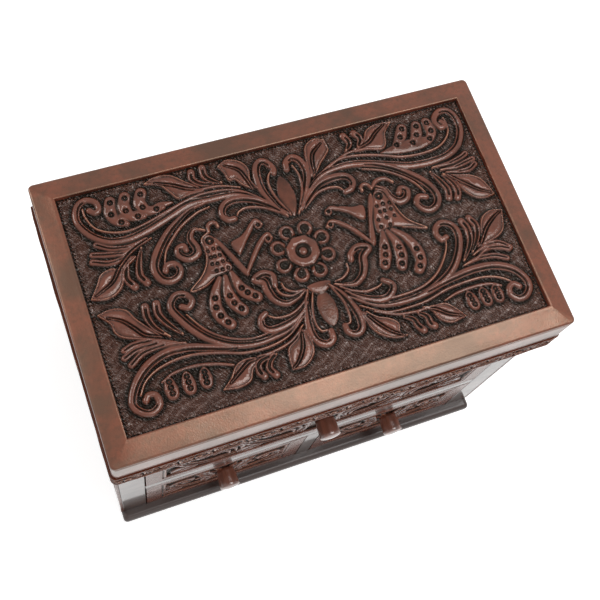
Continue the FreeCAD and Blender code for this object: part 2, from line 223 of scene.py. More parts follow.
def tooled_leather(name, polish, shine, glint):
    """The same leather, carved, matted, rubbed with antiquing paste and polished.

    That gives bright figures over dark cuts, on a brown ground ribbed by the matting tool. The colour also
    holds painted shade on the figures' sides, beside them and along the panel's edge, and a painted highlight
    on their crests. polish is the wax on the figures, shine the leather's own gloss, and glint the wax caught
    on the matting's ribs.
    """
    s = bpy.context.scene.box_leather
    mark = s.mark / MM
    material, tree, place = new_material(name)
    paste_and_shade = node(tree, "Attribute", out="Fac", attribute_name="paste_and_shade")
    ground = node(tree, "Attribute", out="Fac", attribute_name="ground")
    clouds = node(tree, "TexNoise", {"Vector": place, "Scale": per_mm(9), "Detail": 8.0, "Roughness": 0.65})

    # The matting tool's ribs, slanted to every face of the box and broken up along their length
    askew = node(tree, "Mapping", {"Vector": place, "Rotation": (0.5, 0.55, -0.45)})
    ribbed = {"Vector": askew, "Scale": bands_every(mark), "Distortion": 9.0, "Detail": 3.0}
    ribs = node(tree, "TexWave", {**ribbed, "Detail Scale": 1.2}, "Fac", bands_direction="X")
    rowed = {"Vector": askew, "Scale": bands_every(mark * 2.6), "Distortion": 7.0, "Detail": 2.0}
    rows = node(tree, "TexWave", rowed, "Fac", bands_direction="Y")
    breaks = node(tree, "MapRange", (rows, 0.1, 0.55, 0.35))
    marks = node(tree, "Math", (ribs, breaks), operation="MULTIPLY")
    matting = node(tree, "Math", (marks, ground), operation="MULTIPLY")

    # Dye: figures rubbed back, ground deeper
    figure, pressed, deep = rgba(s.figure), rgba(s.ground), rgba(s.smooth_dark)
    base = node(tree, "Mix", {MIX: ground, FIRST: figure, SECOND: pressed}, MIXED, data_type="RGBA")
    mottled = node(tree, "Mix", {MIX: clouds, FIRST: base, SECOND: deep}, MIXED, data_type="RGBA")

    # Dark paste in the cuts and between the ribs, and painted shade on the figures' sides, beside them and
    # along the panel's edge
    uneven = node(tree, "Math", (clouds, 0.9, -0.45), operation="MULTIPLY_ADD")
    paste = node(tree, "Math", (paste_and_shade, uneven), operation="ADD")
    between = node(tree, "Math", (marks, -0.6, 0.36), operation="MULTIPLY_ADD")
    on_ground = node(tree, "Math", (between, ground), operation="MULTIPLY")
    paste_and_shade_share = node(tree, "Math", (paste, on_ground), operation="ADD", use_clamp=True)
    # Crests paler from rubbing, with a painted highlight on them as well
    crest = node(tree, "MapRange", (paste_and_shade, -0.45, -1.0, 0.0, 0.8))
    worn = node(tree, "Mix", {MIX: crest, FIRST: mottled, SECOND: rgba(s.rubbed)}, MIXED, data_type="RGBA")
    pasted_and_shaded = node(tree, "Mix", {MIX: paste_and_shade_share, FIRST: worn, SECOND: rgba(s.paste_and_shade_dark)}, MIXED, data_type="RGBA")

    fine = node(tree, "Bump", {"Height": leather_grain(tree, place), "Strength": 0.4, "Distance": 0.12 * MM})
    bump = node(tree, "Bump", {"Height": matting, "Strength": 1.0, "Distance": 0.6 * MM, "Normal": fine})
    thin = node(tree, "MapRange", (paste_and_shade_share, 0.0, 1.0, polish, polish * 0.12))
    wax = {"coat_normal": bump} if glint else {}
    finish_surface(
        tree,
        base_color=pasted_and_shaded,
        normal=bump,
        roughness=node(tree, "MapRange", (paste_and_shade_share, 0.0, 1.0, 0.24, 0.45)),
        ior=1.5,
        specular_ior_level=shine,
        specular_tint=WARM,
        coat_weight=node(tree, "Math", (matting, glint, thin), operation="MULTIPLY_ADD", use_clamp=True),
        coat_roughness=0.07,
        **wax,
    )
    return material


def wood(name, light, dark, along, roughness, coat):
    """Wood with its grain along one axis: long bands of two browns, with fine pores drawn out along them."""
    grain = bpy.context.scene.box_wood.grain / MM
    material, tree, place = new_material(name)
    squeeze = [0.06 if axis == along else 1.0 for axis in "XYZ"]
    drawn = node(tree, "Mapping", {"Vector": place, "Scale": squeeze})
    banded = {"Vector": drawn, "Scale": per_mm(grain * 2.5), "Detail": 5.0, "Distortion": 0.6}
    pores = node(tree, "TexNoise", {"Vector": drawn, "Scale": per_mm(grain / 3), "Detail": 3.0})
    both = node(tree, "Math", (pores, 0.45, node(tree, "TexNoise", banded)), operation="MULTIPLY_ADD")
    grained = {MIX: node(tree, "MapRange", (both, 0.5, 0.95)), FIRST: rgba(light), SECOND: rgba(dark)}
    finish_surface(
        tree,
        base_color=node(tree, "Mix", grained, MIXED, data_type="RGBA"),
        normal=node(tree, "Bump", {"Height": pores, "Strength": 0.15, "Distance": 0.1 * MM}),
        roughness=roughness,
        ior=1.5,
        coat_weight=coat,
        coat_roughness=0.08,
    )
    return material


def napped_cloth(name, tint, fibre_mm, sheen):
    """Cloth with a short nap: matt, with a pale sheen at grazing angles and a speckle of fibres."""
    material, tree, place = new_material(name)
    speckle = {"Vector": place, "Scale": per_mm(fibre_mm), "Detail": 4.0, "Roughness": 0.7}
    fibres = node(tree, "TexNoise", speckle)
    nap = node(tree, "TexNoise", {"Vector": place, "Scale": per_mm(30), "Detail": 3.0})
    pale, dark = rgba(tint), rgba(tint, 0.62)
    speckled = node(tree, "Mix", {MIX: fibres, FIRST: pale, SECOND: dark}, MIXED, data_type="RGBA")
    finish_surface(
        tree,
        base_color=node(tree, "Mix", {MIX: nap, FIRST: speckled, SECOND: dark}, MIXED, data_type="RGBA"),
        normal=node(tree, "Bump", {"Height": fibres, "Strength": 0.5, "Distance": 0.3 * MM}),
        roughness=0.95,
        ior=1.5,
        sheen_weight=sheen,
        sheen_roughness=0.4,
    )
    return material


def pressed_brass():
    """Brass, pressed and tumbled: warm metal with faint rolling lines and a few dull patches."""
    brass = bpy.context.scene.box_trim.brass
    material, tree, place = new_material("brass_pressed_and_tumbled")
    drawn = node(tree, "Mapping", {"Vector": place, "Scale": (0.05, 1.0, 1.0)})
    lines = node(tree, "TexNoise", {"Vector": drawn, "Scale": per_mm(0.4), "Detail": 3.0})
    patches = node(tree, "TexNoise", {"Vector": place, "Scale": per_mm(5), "Detail": 4.0})
    dulled = {MIX: patches, FIRST: rgba(brass), SECOND: rgba(brass, 0.55)}
    finish_surface(
        tree,
        base_color=node(tree, "Mix", dulled, MIXED, data_type="RGBA"),
        normal=node(tree, "Bump", {"Height": lines, "Strength": 0.12, "Distance": 0.05 * MM}),
        roughness=node(tree, "MapRange", (patches, 0.3, 0.7, 0.22, 0.42)),
        metallic=1.0,
    )
    return material


def silvered_glass():
    """Float glass silvered behind: a clear reflection with the faintest ripple."""
    mirror = bpy.context.scene.box_trim.mirror
    material, tree, place = new_material("float_glass_silvered_behind")
    ripple = node(tree, "TexNoise", {"Vector": place, "Scale": per_mm(40), "Detail": 1.0})
    tinted = {MIX: ripple, FIRST: rgba(mirror), SECOND: rgba(mirror, 0.94)}
    finish_surface(
        tree,
        base_color=node(tree, "Mix", tinted, MIXED, data_type="RGBA"),
        normal=node(tree, "Bump", {"Height": ripple, "Strength": 0.02, "Distance": 0.1 * MM}),
        roughness=0.02,
        metallic=1.0,
    )
    return material


def dress(obj, material, body):
    """Gives a new piece its material and its body."""
    obj.data.materials.append(material)
    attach(obj, body)


def dress_nodes(material, nodes, edge=0.0):
    """Gives fixed nodes a material, and softens their edges by a radius in metres."""
    for name in nodes:
        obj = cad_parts[name]
        for slot in obj.material_slots:
            slot.link = "OBJECT"
            slot.material = material
        if edge:
            weld = obj.modifiers.new("joined faces", "WELD")
            weld.merge_threshold = 0.01 * MM
            bevel = obj.modifiers.new("softened edges", "BEVEL")
            bevel.width = edge
            bevel.segments = 3
            bevel.limit_method = "ANGLE"
            bevel.angle_limit = math.radians(40)
            bevel.harden_normals = True


# ---- Tooling leather ----

# Half-widths of ridges and cuts in millimetres, from the start of a path to its end
STEM = (0.9, 2.0, 2.6, 2.8, 2.7, 2.5, 2.2, 2.0)
CURL, CURL_LINE = (0.8, 2.1, 2.8, 2.5, 2.0), (0.3, 0.55, 0.6, 0.55, 0.4)
THREAD = (0.6, 1.1, 1.2, 1.1, 0.7)
FAN, FAN_LINE = (0.7, 1.7, 2.1, 2.2), (0.3, 0.5, 0.4)
FINGER, FINGER_LINE = (2.5, 2.4, 1.7, 0.7), (0.75, 0.8, 0.6)
POD = (3.4, 3.9, 3.2, 1.8)
LEAF_EDGE, LEAF_CUT, LEAF_RIB = (0.8, 1.0, 0.6), (0.9, 1.3, 1.2, 0.7), (0.7, 0.6, 0.45)
BRANCH, RIBBON, BACK = (0.8, 1.3, 1.4, 1.0), (1.2, 1.7, 1.8, 1.5), (1.1, 0.9, 0.9, 0.9, 0.5)
STAMPS = 0.17  # height of the border's stamps, as a share of the figures' height


def points_of(text):
    """Points written as "x,y x,y", in millimetres."""
    return np.array([[float(v) for v in pair.split(",")] for pair in text.split()])


def spot(x, y):
    """Path that stays on one point, for a round mark."""
    return np.array([(x, y), (x, y)], dtype=float)


def shares(count):
    """Even steps from 0 to 1."""
    return np.linspace(0, 1, count)


def smooth_path(points, step=0.22, closed=False):
    """Smooth curve through every point, with a sample each step."""
    if closed:
        guides = np.vstack([points[-1], points, points[0], points[1]])
    else:
        guides = np.vstack([2 * points[0] - points[1], points, 2 * points[-1] - points[-2]])
    pieces = []
    for a, b, c, d in zip(guides, guides[1:], guides[2:], guides[3:]):
        count = max(2, int(np.hypot(*(c - b)) / step))
        t = np.linspace(0, 1, count, endpoint=False)[:, None]
        bend = (2 * a - 5 * b + 4 * c - d) * t**2 + (3 * b - 3 * c + d - a) * t**3
        pieces.append(0.5 * (2 * b + (c - a) * t + bend))
    if not closed:
        pieces.append(points[-1:])
    return np.vstack(pieces)


def crown(share):
    """Rounded profile: 1 in the middle and 0 at the edge."""
    return np.clip(1 - np.clip(share, 0, 1) ** 2.2, 0, 1) ** 0.7


def blurred(values, radius):
    """Values averaged over about this many cells all round."""
    reach = 2 * radius
    taps = np.exp(-0.5 * (np.arange(-reach, reach + 1) / radius) ** 2)
    taps /= taps.sum()
    for axis in (0, 1):
        padded = np.pad(values, [(reach, reach) if a == axis else (0, 0) for a in (0, 1)], mode="edge")
        size = values.shape[axis]
        values = sum(tap * np.take(padded, range(i, i + size), axis=axis) for i, tap in enumerate(taps))
    return values


class Tooling:
    """Tooled leather over a rectangle: a square grid of heights, from 0 on the ground to 1 on the figures."""

    def __init__(self, wide, tall, pitch, middle=(0.0, 0.0)):
        self.x = np.linspace(middle[0] - wide / 2, middle[0] + wide / 2, round(wide / pitch) + 1)
        self.y = np.linspace(middle[1] - tall / 2, middle[1] + tall / 2, round(tall / pitch) + 1)
        self.pitch = pitch
        self.height = np.zeros((len(self.y), len(self.x)))
        self.edge_shade = 0.0
        self.put()

    def put(self, at=(0.0, 0.0), scale=1.0, flip=(1, 1)):
        """Where the next figures go: their origin, their scale and their signs across and up."""
        self.at, self.scale, self.flip = np.array(at, dtype=float), scale, np.array(flip)

    def place(self, points):
        return self.at + self.scale * self.flip * points

    def cells(self, millimetres):
        return max(1, round(millimetres / self.pitch))

    def from_edge(self):
        """Distance of each cell from the sides and from the ends of the rectangle."""
        across = np.minimum(self.x - self.x[0], self.x[-1] - self.x)[None, :]
        return across, np.minimum(self.y - self.y[0], self.y[-1] - self.y)[:, None]

    def along(self, path, widths):
        """Window round a path, and each cell's distance from the path as a share of the half-width there."""
        half = self.scale * np.interp(shares(len(path)), shares(len(widths)), widths)
        low = path.min(axis=0) - half.max()
        high = path.max(axis=0) + half.max()
        rows = slice(*np.searchsorted(self.y, (low[1], high[1])))
        cols = slice(*np.searchsorted(self.x, (low[0], high[0])))
        x, y = self.x[cols], self.y[rows]
        share = np.full((len(y), len(x)), 9.0)
        for (px, py), reach in zip(path, half):
            r = slice(*np.searchsorted(y, (py - reach, py + reach)))
            c = slice(*np.searchsorted(x, (px - reach, px + reach)))
            near = np.hypot(x[c] - px, y[r, None] - py) / reach
            np.minimum(share[r, c], near, out=share[r, c])
        return (rows, cols), share

    def ridge(self, points, widths, top=1.0, wall=0.55):
        """Rounded ridge with steep walls along a path."""
        window, share = self.along(smooth_path(self.place(points)), widths)
        edge = np.clip((1 - share) * max(widths) / wall, 0, 1)
        raised = top * edge * (0.15 + 0.85 * crown(share))
        np.maximum(self.height[window], raised, out=self.height[window])

    def cut(self, points, widths, depth=0.5):
        """Rounded cut along a path, never below the ground."""
        window, share = self.along(smooth_path(self.place(points)), widths)
        before = self.height[window]
        lowered = np.maximum(before - depth * crown(share), 0.05)
        self.height[window] = np.where(share < 1, np.minimum(before, lowered), before)

    def body(self, points, top=0.9, shoulder=2.6):
        """Filled outline with pillowed edges."""
        path = smooth_path(self.place(points), closed=True)
        window, share = self.along(np.vstack([path, path[:1]]), (shoulder,))
        x, y = self.x[window[1]], self.y[window[0], None]
        inside = np.zeros(share.shape, dtype=bool)
        for (ax, ay), (bx, by) in zip(path, np.roll(path, -1, axis=0)):
            if ay == by:
                continue
            crosses = (ay > y) != (by > y)
            inside ^= crosses & (x < (bx - ax) * (y - ay) / (by - ay) + ax)
        rise = np.clip(share, 0, 1)
        raised = np.where(inside, top * (0.35 + 0.65 * np.sqrt(1 - (1 - rise) ** 2)), 0)
        np.maximum(self.height[window], raised, out=self.height[window])

    def seed(self, point, radius=1.0, pit=0.55, bead=0.75):
        """Bead in a round pit."""
        self.cut(spot(*point), (radius,), pit)
        self.ridge(spot(*point), (radius * 0.5,), bead)

    def stamp_edge(self, inset=1.5, spacing=1.9):
        """Row of small stamps just inside the panel's edge, a little coarser than real ones so that they
        show, and painted shade along that edge, where the frame stands above it.
        """
        across, up = self.from_edge()
        run = np.where(across < up, self.y[:, None], self.x[None, :])
        row = crown(np.abs(np.minimum(across, up) - inset) / 0.9)
        stamps = row * (0.5 + 0.5 * np.cos(2 * math.pi * run / spacing))
        self.height = np.maximum(self.height, STAMPS * stamps)
        # Painted shade along the panel's edge, where the frame stands above it
        self.edge_shade = crown(np.minimum(across, up) / 1.3)

    def raise_margin(self, margin_x, margin_y, wall=0.5, line=1.8):
        """Smooth margin round a sunken panel, level with the figures, with a cut line round it."""
        across, up = self.from_edge()
        inset = np.minimum(across - margin_x, up - margin_y)
        margin = np.clip(1 - inset / wall, 0, 1)
        cut = 0.35 * crown(np.abs(inset + line) / 0.7)
        self.height = np.maximum(self.height, margin * (1 - cut))

    # Figures, each from one or more paths

    def stem(self, *paths):
        for path in paths:
            self.banded(points_of(path), STEM)

    def curl(self, *paths):
        for path in paths:
            self.banded(points_of(path), CURL)

    def banded(self, points, widths):
        """Ridge with a cut line along the inner side of its last curl."""
        self.ridge(points, widths)
        path = smooth_path(points)
        way = np.gradient(path, axis=0)
        way /= np.hypot(*way.T)[:, None]
        turning = np.cross(way[:-1], way[1:])[len(way) // 2 :].sum()
        beside = np.sign(turning) * np.stack([-way[:, 1], way[:, 0]], axis=-1)
        half = np.interp(shares(len(path)), shares(len(widths)), widths)
        line = path + 0.4 * half[:, None] * beside
        self.cut(line[len(line) // 12 : -len(line) // 9 : 5], CURL_LINE)

    def thread(self, *paths):
        for path in paths:
            self.ridge(points_of(path), THREAD, 0.85, 0.5)

    def fan(self, *paths):
        for path in paths:
            self.ridge(points_of(path), FAN, 0.95)
            self.cut(points_of(path)[1:], FAN_LINE, 0.4)

    def finger(self, *paths):
        for path in paths:
            self.ridge(points_of(path), FINGER)
        for path in paths:
            inner = smooth_path(points_of(path))[8:-4]
            self.cut(inner[:: max(1, len(inner) // 6)], FINGER_LINE, 0.6)

    def pod(self, path, seeds=3, reach=0.85):
        """Fat pod or feather from its tip to its root, with beaded pits along it as far as reach."""
        points = points_of(path)
        self.ridge(points, POD, 0.95)
        way = smooth_path(points)
        for share in np.linspace(0.06, reach, seeds):
            self.seed(way[int(share * (len(way) - 1))], 1.6, 0.85, 0.85)

    def leaf(self, upper, lower, midrib):
        """Leaf from its root round its upper side to the tip, and back along its lower side."""
        top, bottom, rib = points_of(upper), points_of(lower), points_of(midrib)
        self.body(np.vstack([top, bottom[::-1]]))
        self.ridge(top, LEAF_EDGE, 0.95)
        self.ridge(bottom, LEAF_EDGE, 0.95)
        self.cut(rib, LEAF_CUT, 0.6)
        self.ridge(rib, LEAF_RIB, 0.85, 0.4)

    def relief_mm(self, height, ground_dip=0.3):
        """Heights in millimetres: the ground is pressed lower beside the figures, and swells unevenly."""
        figures = (self.height > 0.02).astype(float)
        near = np.clip(1.7 * blurred(figures, self.cells(1.6)), 0, 1)
        noise = np.random.default_rng(11).standard_normal(self.height.shape)
        swell = blurred(noise, 3 * self.cells(1.6))
        return self.height * height - (1 - figures) * ground_dip * near + 0.9 * swell

    def looks(self, height_mm, strength=0.9):
        """Dark paste with painted shade, from -1 on a rubbed crest with a painted highlight to 1 in a cut,
        and bare ground, from 0 to 1.

        Paste stays in hollows and on the ground close beside the figures; painted shade darkens
        steep sides, the low parts of the figures, the ground beside them and the panel's edge.
        """
        narrow = blurred(height_mm, self.cells(0.8))
        wide = blurred(height_mm, self.cells(2.6))
        depth = np.ptp(height_mm) or 1.0
        hollow = 4.4 * (narrow - height_mm) / depth + 2.4 * np.maximum(wide - height_mm, 0) / depth
        steep = np.hypot(*np.gradient(height_mm, self.pitch))
        ground = 1 - np.clip((self.height - STAMPS) * 6, 0, 1)
        beside = np.clip(2.1 * blurred(1 - ground, self.cells(1.1)), 0, 1)
        # Painted shade: steep sides and the low parts of the figures are darkened as if in shade
        low_shade = (1 - ground) * np.clip(1 - self.height, 0, 1) ** 1.2
        sides = 0.85 * np.clip((steep - 0.3) / 1.1, 0, 1) + low_shade
        # Paste and painted shade on the ground close beside the figures
        paste_and_shade_beside = ground * (0.95 * beside - 0.22)
        return np.clip(strength * hollow + sides + paste_and_shade_beside + self.edge_shade, -1, 1), ground


def sampled(tooling, values, x, y):
    """Values of a grid at places between its cells."""
    col = np.clip((x - tooling.x[0]) / (tooling.x[1] - tooling.x[0]), 0, len(tooling.x) - 1.001)
    row = np.clip((y - tooling.y[0]) / (tooling.y[1] - tooling.y[0]), 0, len(tooling.y) - 1.001)
    c, r = col.astype(int), row.astype(int)
    u, v = col - c, row - r
    near = values[r, c] * (1 - u) + values[r, c + 1] * u
    far = values[r + 1, c] * (1 - u) + values[r + 1, c + 1] * u
    return near * (1 - v) + far * v


def new_object(name, vertices, faces, smooth):
    """Mesh object from vertices in metres, with smooth faces where told."""
    mesh = bpy.data.meshes.new(name)
    mesh.from_pydata(vertices, [], faces)
    mesh.polygons.foreach_set("use_smooth", smooth)
    mesh.update()
    obj = bpy.data.objects.new(name, mesh)
    bpy.context.scene.collection.objects.link(obj)
    return obj


def ring_faces(rings, count, first=0, closed=False):
    """Faces between neighbouring rings of vertices, and from the last ring to the first if closed."""
    faces = []
    for i in range(rings if closed else rings - 1):
        a, b = first + i * count, first + (i + 1) % rings * count
        faces += [(a + j, b + j, b + (j + 1) % count, a + (j + 1) % count) for j in range(count)]
    return faces


def grid_faces(index):
    """Faces between the cells of a grid of vertex numbers."""
    return np.stack([index[:-1, :-1], index[:-1, 1:], index[1:, 1:], index[1:, :-1]], axis=-1).reshape(-1, 4)


def write_looks(obj, paste_and_shade, ground):
    for name, values in (("paste_and_shade", paste_and_shade), ("ground", ground)):
        attribute = obj.data.attributes.new(name, "FLOAT", "POINT")
        attribute.data.foreach_set("value", np.ascontiguousarray(values, dtype=np.float32).ravel())


def tooled_sheet(name, tooling, height_mm, thickness, placing, keep=1.0):
    """Sheet of tooled leather with a flat back.

    placing turns (across, up, out) in metres into the frame; keep is the share of triangles left.
    """
    across, up = np.meshgrid(tooling.x, tooling.y)
    front = np.stack([across, up, height_mm], axis=-1).reshape(-1, 3)
    index = np.arange(height_mm.size).reshape(height_mm.shape)
    quads = grid_faces(index)
    rim = np.concatenate([index[0, :-1], index[:-1, -1], index[-1, :0:-1], index[:0:-1, 0]])
    back = front[rim].copy()
    back[:, 2] = -thickness
    edge = height_mm.size + np.arange(len(rim))
    skirt = np.stack([rim, edge, np.roll(edge, -1), np.roll(rim, -1)], axis=-1)
    faces = [*quads.tolist(), *skirt.tolist(), edge[::-1].tolist()]
    smooth = np.arange(len(faces)) < len(quads)
    obj = new_object(name, np.vstack([front, back]) * MM, faces, smooth)
    if keep < 1:
        thin = obj.modifiers.new("fewer triangles where it is flat", "DECIMATE")
        thin.ratio = keep
        evaluated = obj.evaluated_get(bpy.context.evaluated_depsgraph_get())
        mesh = bpy.data.meshes.new_from_object(evaluated)
        obj.modifiers.clear()
        obj.data = mesh
    lay_looks(obj, tooling, height_mm, thickness)
    slope_normals(obj.data, tooling, height_mm, placing)
    return obj


def places_mm(mesh):
    """Places of a mesh's vertices in millimetres."""
    where = np.empty(len(mesh.vertices) * 3, dtype=np.float64)
    mesh.vertices.foreach_get("co", where)
    return where.reshape(-1, 3) / MM


def lay_looks(obj, tooling, height_mm, thickness):
    """Writes the paste, with its painted shade and highlight, and the bare ground onto a sheet's vertices."""
    where = places_mm(obj.data)
    paste_and_shade, ground = tooling.looks(height_mm)
    on_back = where[:, 2] < -thickness + 0.05
    seen_paste_and_shade = np.where(on_back, 0.3, sampled(tooling, paste_and_shade, where[:, 0], where[:, 1]))
    seen_ground = np.where(on_back, 0.0, sampled(tooling, ground, where[:, 0], where[:, 1]))
    write_looks(obj, seen_paste_and_shade, seen_ground)


def slope_normals(mesh, tooling, height_mm, placing):
    """Moves a sheet's mesh to its place, and takes its smooth normals from the slope of the tooling."""
    where = places_mm(mesh)
    slope_y, slope_x = np.gradient(height_mm, tooling.y, tooling.x)
    lean_x = sampled(tooling, slope_x, where[:, 0], where[:, 1])
    lean_y = sampled(tooling, slope_y, where[:, 0], where[:, 1])
    normals = np.stack([-lean_x, -lean_y, np.ones_like(lean_x)], axis=-1)
    mesh.transform(placing)
    normals = normals @ np.array(placing.to_3x3()).T
    corners = np.empty(len(mesh.loops), dtype=np.int64)
    mesh.loops.foreach_get("vertex_index", corners)
    sizes = np.empty(len(mesh.polygons), dtype=np.int64)
    mesh.polygons.foreach_get("loop_total", sizes)
    flat = ~np.array([p.use_smooth for p in mesh.polygons])
    corner_normals = normals[corners]
    corner_normals[np.repeat(flat, sizes)] = 0
    mesh.normals_split_custom_set(corner_normals)


# ---- The lid panel's figures, in millimetres from the lid's middle, right and back ----


def tool_rosette(t):
    """Flower in the middle: a flat disc round a boss, and eight cupped petals that touch it."""
    centre = np.array([-1.0, 2.0])
    for turn in np.radians(22.0 + 45.0 * np.arange(8)):
        way = np.array([math.cos(turn), math.sin(turn)])
        t.ridge(np.array([centre + 9.6 * way, centre + 12.6 * way]), (3.2, 4.6))
        t.cut(np.array([centre + 10.6 * way, centre + 12.4 * way]), (1.6, 2.5), 0.85)
        t.seed(centre + 11.8 * way, 0.9, 0.0, 0.75)
    turns = np.radians(np.arange(0, 361, 20))
    rim = np.stack([np.cos(turns), np.sin(turns)], axis=-1)
    t.body(centre + 8.3 * rim[:-1], 1.0, 1.6)
    t.cut(centre + 8.9 * rim, (0.6,))
    t.cut(spot(*centre), (4.3,), 0.85)
    t.ridge(spot(*centre), (2.9,), 0.95)


def tool_sprays(t):
    """Lilies in front of and behind the flower, and the hooked leaves beside them."""
    t.body(points_of("1.5,21 5,27 6,34 4.5,41 1.5,44.5 -1.5,41 -3,34 -2,27"), 0.5, 2.5)
    t.body(points_of("0.5,-19.5 4.5,-24 5.5,-30 4,-36 0.5,-39 -3,-36 -4.5,-30 -3.5,-24"), 0.5, 2.5)
    t.body(points_of("-5.5,-16 0,-15 6.5,-16 5.5,-19.5 0.5,-21.5 -4.5,-19.5"), 0.7)
    t.curl(
        "-2,22 -6,29 -9.5,38 -10,46 -8.5,52 -5.5,54.5 -2.5,53 -0.5,49 -1,46.5",
        "4,22 9,29 14,38 15.5,44 14,50 10.5,52.5 7,50.5 6,46.5",
        "-6,-18 -9,-25 -11,-33 -11.5,-39 -10,-44 -6,-46.5 -2.5,-45 -2,-41",
        "5,-18 10,-25 13,-33 14,-39 13,-44 9.5,-46 6,-44 5.5,-40.5",
        "-2,23 -10,31.5 -18,36.5 -25,38 -30.5,36.5 -33,32.5 -31.5,28.5 -28,28",
        "6,23 14,31 21,35 29,36 34.5,34.5 36.5,31 34.5,27.5 31,26.5",
        "-8,-24 -15,-29.5 -23,-32 -30,-32 -33,-29 -32,-25 -29.5,-23.5",
        "12,-24 18,-29 25,-32.5 31,-33 35,-30 35.5,-27 32,-24",
        "-7,-18 -12,-20.5 -18,-21.5 -22.5,-18.5 -24.5,-13 -25,-8 -28.5,-5.5 -24,-3.5 -20,-6 -20.5,-11",
        "8,-19 12,-20.5 18,-21.5 23,-18.5 25.5,-14 27,-9 31,-5.5 26,-3.5 21.5,-6 20.5,-9",
    )
    t.thread(
        "0,23 -4,32 -5.5,40 -4.5,45 -2,48",
        "6,26 10,34 11,42 9.5,48",
        "-4,-20 -7,-28 -8,-35 -6.5,-39.5 -3.5,-40",
        "6,-20 9,-28 9.5,-35 8.5,-39.5 6,-40",
        "-4,24 -12,29.5 -20,32 -24.5,31 -26,29.5",
        "8,23.5 16,29.5 23,31 28,30 30.5,27",
        "-7,-21 -13,-25.5 -19,-27.5 -25,-27 -28.5,-25",
        "10,-21 16,-25 22,-27 28,-26.5 30.5,-25.5",
        "-8,-17.5 -14,-18.5 -19,-16 -20.5,-11",
        "-7,-17 -12,-17 -16,-14.5 -17,-11",
        "9,-17.5 13,-17 17,-14 17.5,-10.5",
    )


def tool_bird(t, outline, back, eye, scales, wings, ribbons, hooks):
    """Bird without its crest and tail: body, back, eye, scales, wings, and ribbons that end in hooks."""
    t.body(points_of(outline), 0.85)
    t.ridge(points_of(back), BACK)
    t.seed(eye, 2.3, 0.75, 0.9)
    for point in points_of(scales):
        t.seed(point, 1.15, 0.5, 1.0)
    for wing in wings:
        t.body(points_of(wing), 0.95, 1.4)
    for ribbon in ribbons:
        t.ridge(points_of(ribbon), RIBBON)
    for point in points_of(hooks):
        t.ridge(spot(*point), (2.5,))
        t.cut(spot(*point), (1.2,), 0.75)


def tool_left_bird(t):
    """Left bird, with a curled crest behind its head and a tail of three feathers."""
    tool_bird(
        t,
        outline="-43.5,24 -47,22 -47.5,14 -49,8 -53,3 -60,-2.5 -53,-2 -47,1 -41,2 -37,4 -39,12 -40,20",
        back="-43.5,24 -47,21.5 -47,14 -49,8 -53,3 -60,-2.5 -53,-2 -47,1",
        eye=(-43.5, 20),
        scales="-46,15 -43,15.5 -40.5,15 -45.5,11.5 -43.5,11.5 -41,11.5"
        " -46,8 -43.5,7.6 -40.5,8 -38,8 -45,4 -42,4 -39,4",
        wings=(
            "-41.5,21 -39,19.5 -33,7 -30,-1 -31.5,-2.5 -33.5,0 -37,9 -41,18",
            "-34,16 -28,18.5 -22,22.5 -20,21.5 -25,16 -30,10 -32,9.5",
        ),
        ribbons=("-31,-1 -23,9 -18,14 -15,15.5 -14,13.5", "-24,20 -21,22.5 -18.5,24 -16.5,21.5"),
        hooks="-15.5,13 -18,21.5",
    )
    t.curl("-44,26 -49,28 -52,24 -50.5,18 -52,15 -56,14 -59.5,16.5 -59.5,20 -56.5,21 -56,18.5")
    t.ridge(points_of("-42.5,24.5 -42,27.5 -40,29 -37.8,28.2 -37.3,26.3"), (1.0, 1.5, 1.7, 1.6, 1.3))
    t.seed((-39.6, 26.6), 1.0, 0.3, 0.8)
    t.pod("-47,-23.5 -50,-19 -51,-13 -49,-6.5 -45,0", 4, 0.6)
    t.pod("-39,-18.5 -42,-14 -43,-8 -42,0", 3, 0.5)
    t.pod("-30.5,-14 -34.5,-10.5 -37,-6 -38.5,1", 3, 0.5)


def tool_right_bird(t):
    """Right bird, with a broader crest."""
    tool_bird(
        t,
        outline="46.5,23.5 50,21 52,15 53,9 56,3 64,-4 56,-1 52,0 46,1.5 39,0 38.5,6 41,14 43,20",
        back="46.5,23.5 50,21 52,14 54,7 57,2 64,-4 57,-1.5 52,0",
        eye=(46.5, 19.5),
        scales="43.5,14.5 47,14.8 50.5,14.5 44,11 46.5,11 50,11 41.5,7 46,7 50.5,7 41.5,3 46.5,3",
        wings=(
            "43.5,22 41,20.5 36.5,8 33,-3 34.5,-5.5 36.5,-3 39,8 43,17",
            "37,17 31,18 25,20 23,18 28,14.5 33,10 36,10.5",
        ),
        ribbons=("34,-4 28,5 22,11 18,13 15.5,11", "26,17.5 23,19 20,20 17.5,18"),
        hooks="17,11.5 18.5,18.5",
    )
    t.ridge(points_of("45,25 48.5,28 53,28 56.5,25"), (1.3, 1.8, 1.7, 1.0))
    t.curl("47,25 51,22.5 52.5,17.5 55.5,14 60,14.5 62,18.5 59.5,20.5 57.5,18.5")
    t.ridge(points_of("44.5,24.5 43.3,27 41.2,27.8 39.4,26.6 39.4,24.8"), (1.0, 1.4, 1.6, 1.5, 1.2))
    t.seed((41.3, 25.4), 1.0, 0.3, 0.8)
    t.pod("36,-16.5 38,-12 39.5,-7 41,0", 3, 0.55)
    t.pod("44,-19.5 46,-14 46,-7 43.5,0", 3, 0.5)
    t.pod("52,-23.5 54.5,-19.5 54.5,-12.5 51.5,-5.5 46.5,0", 3, 0.42)


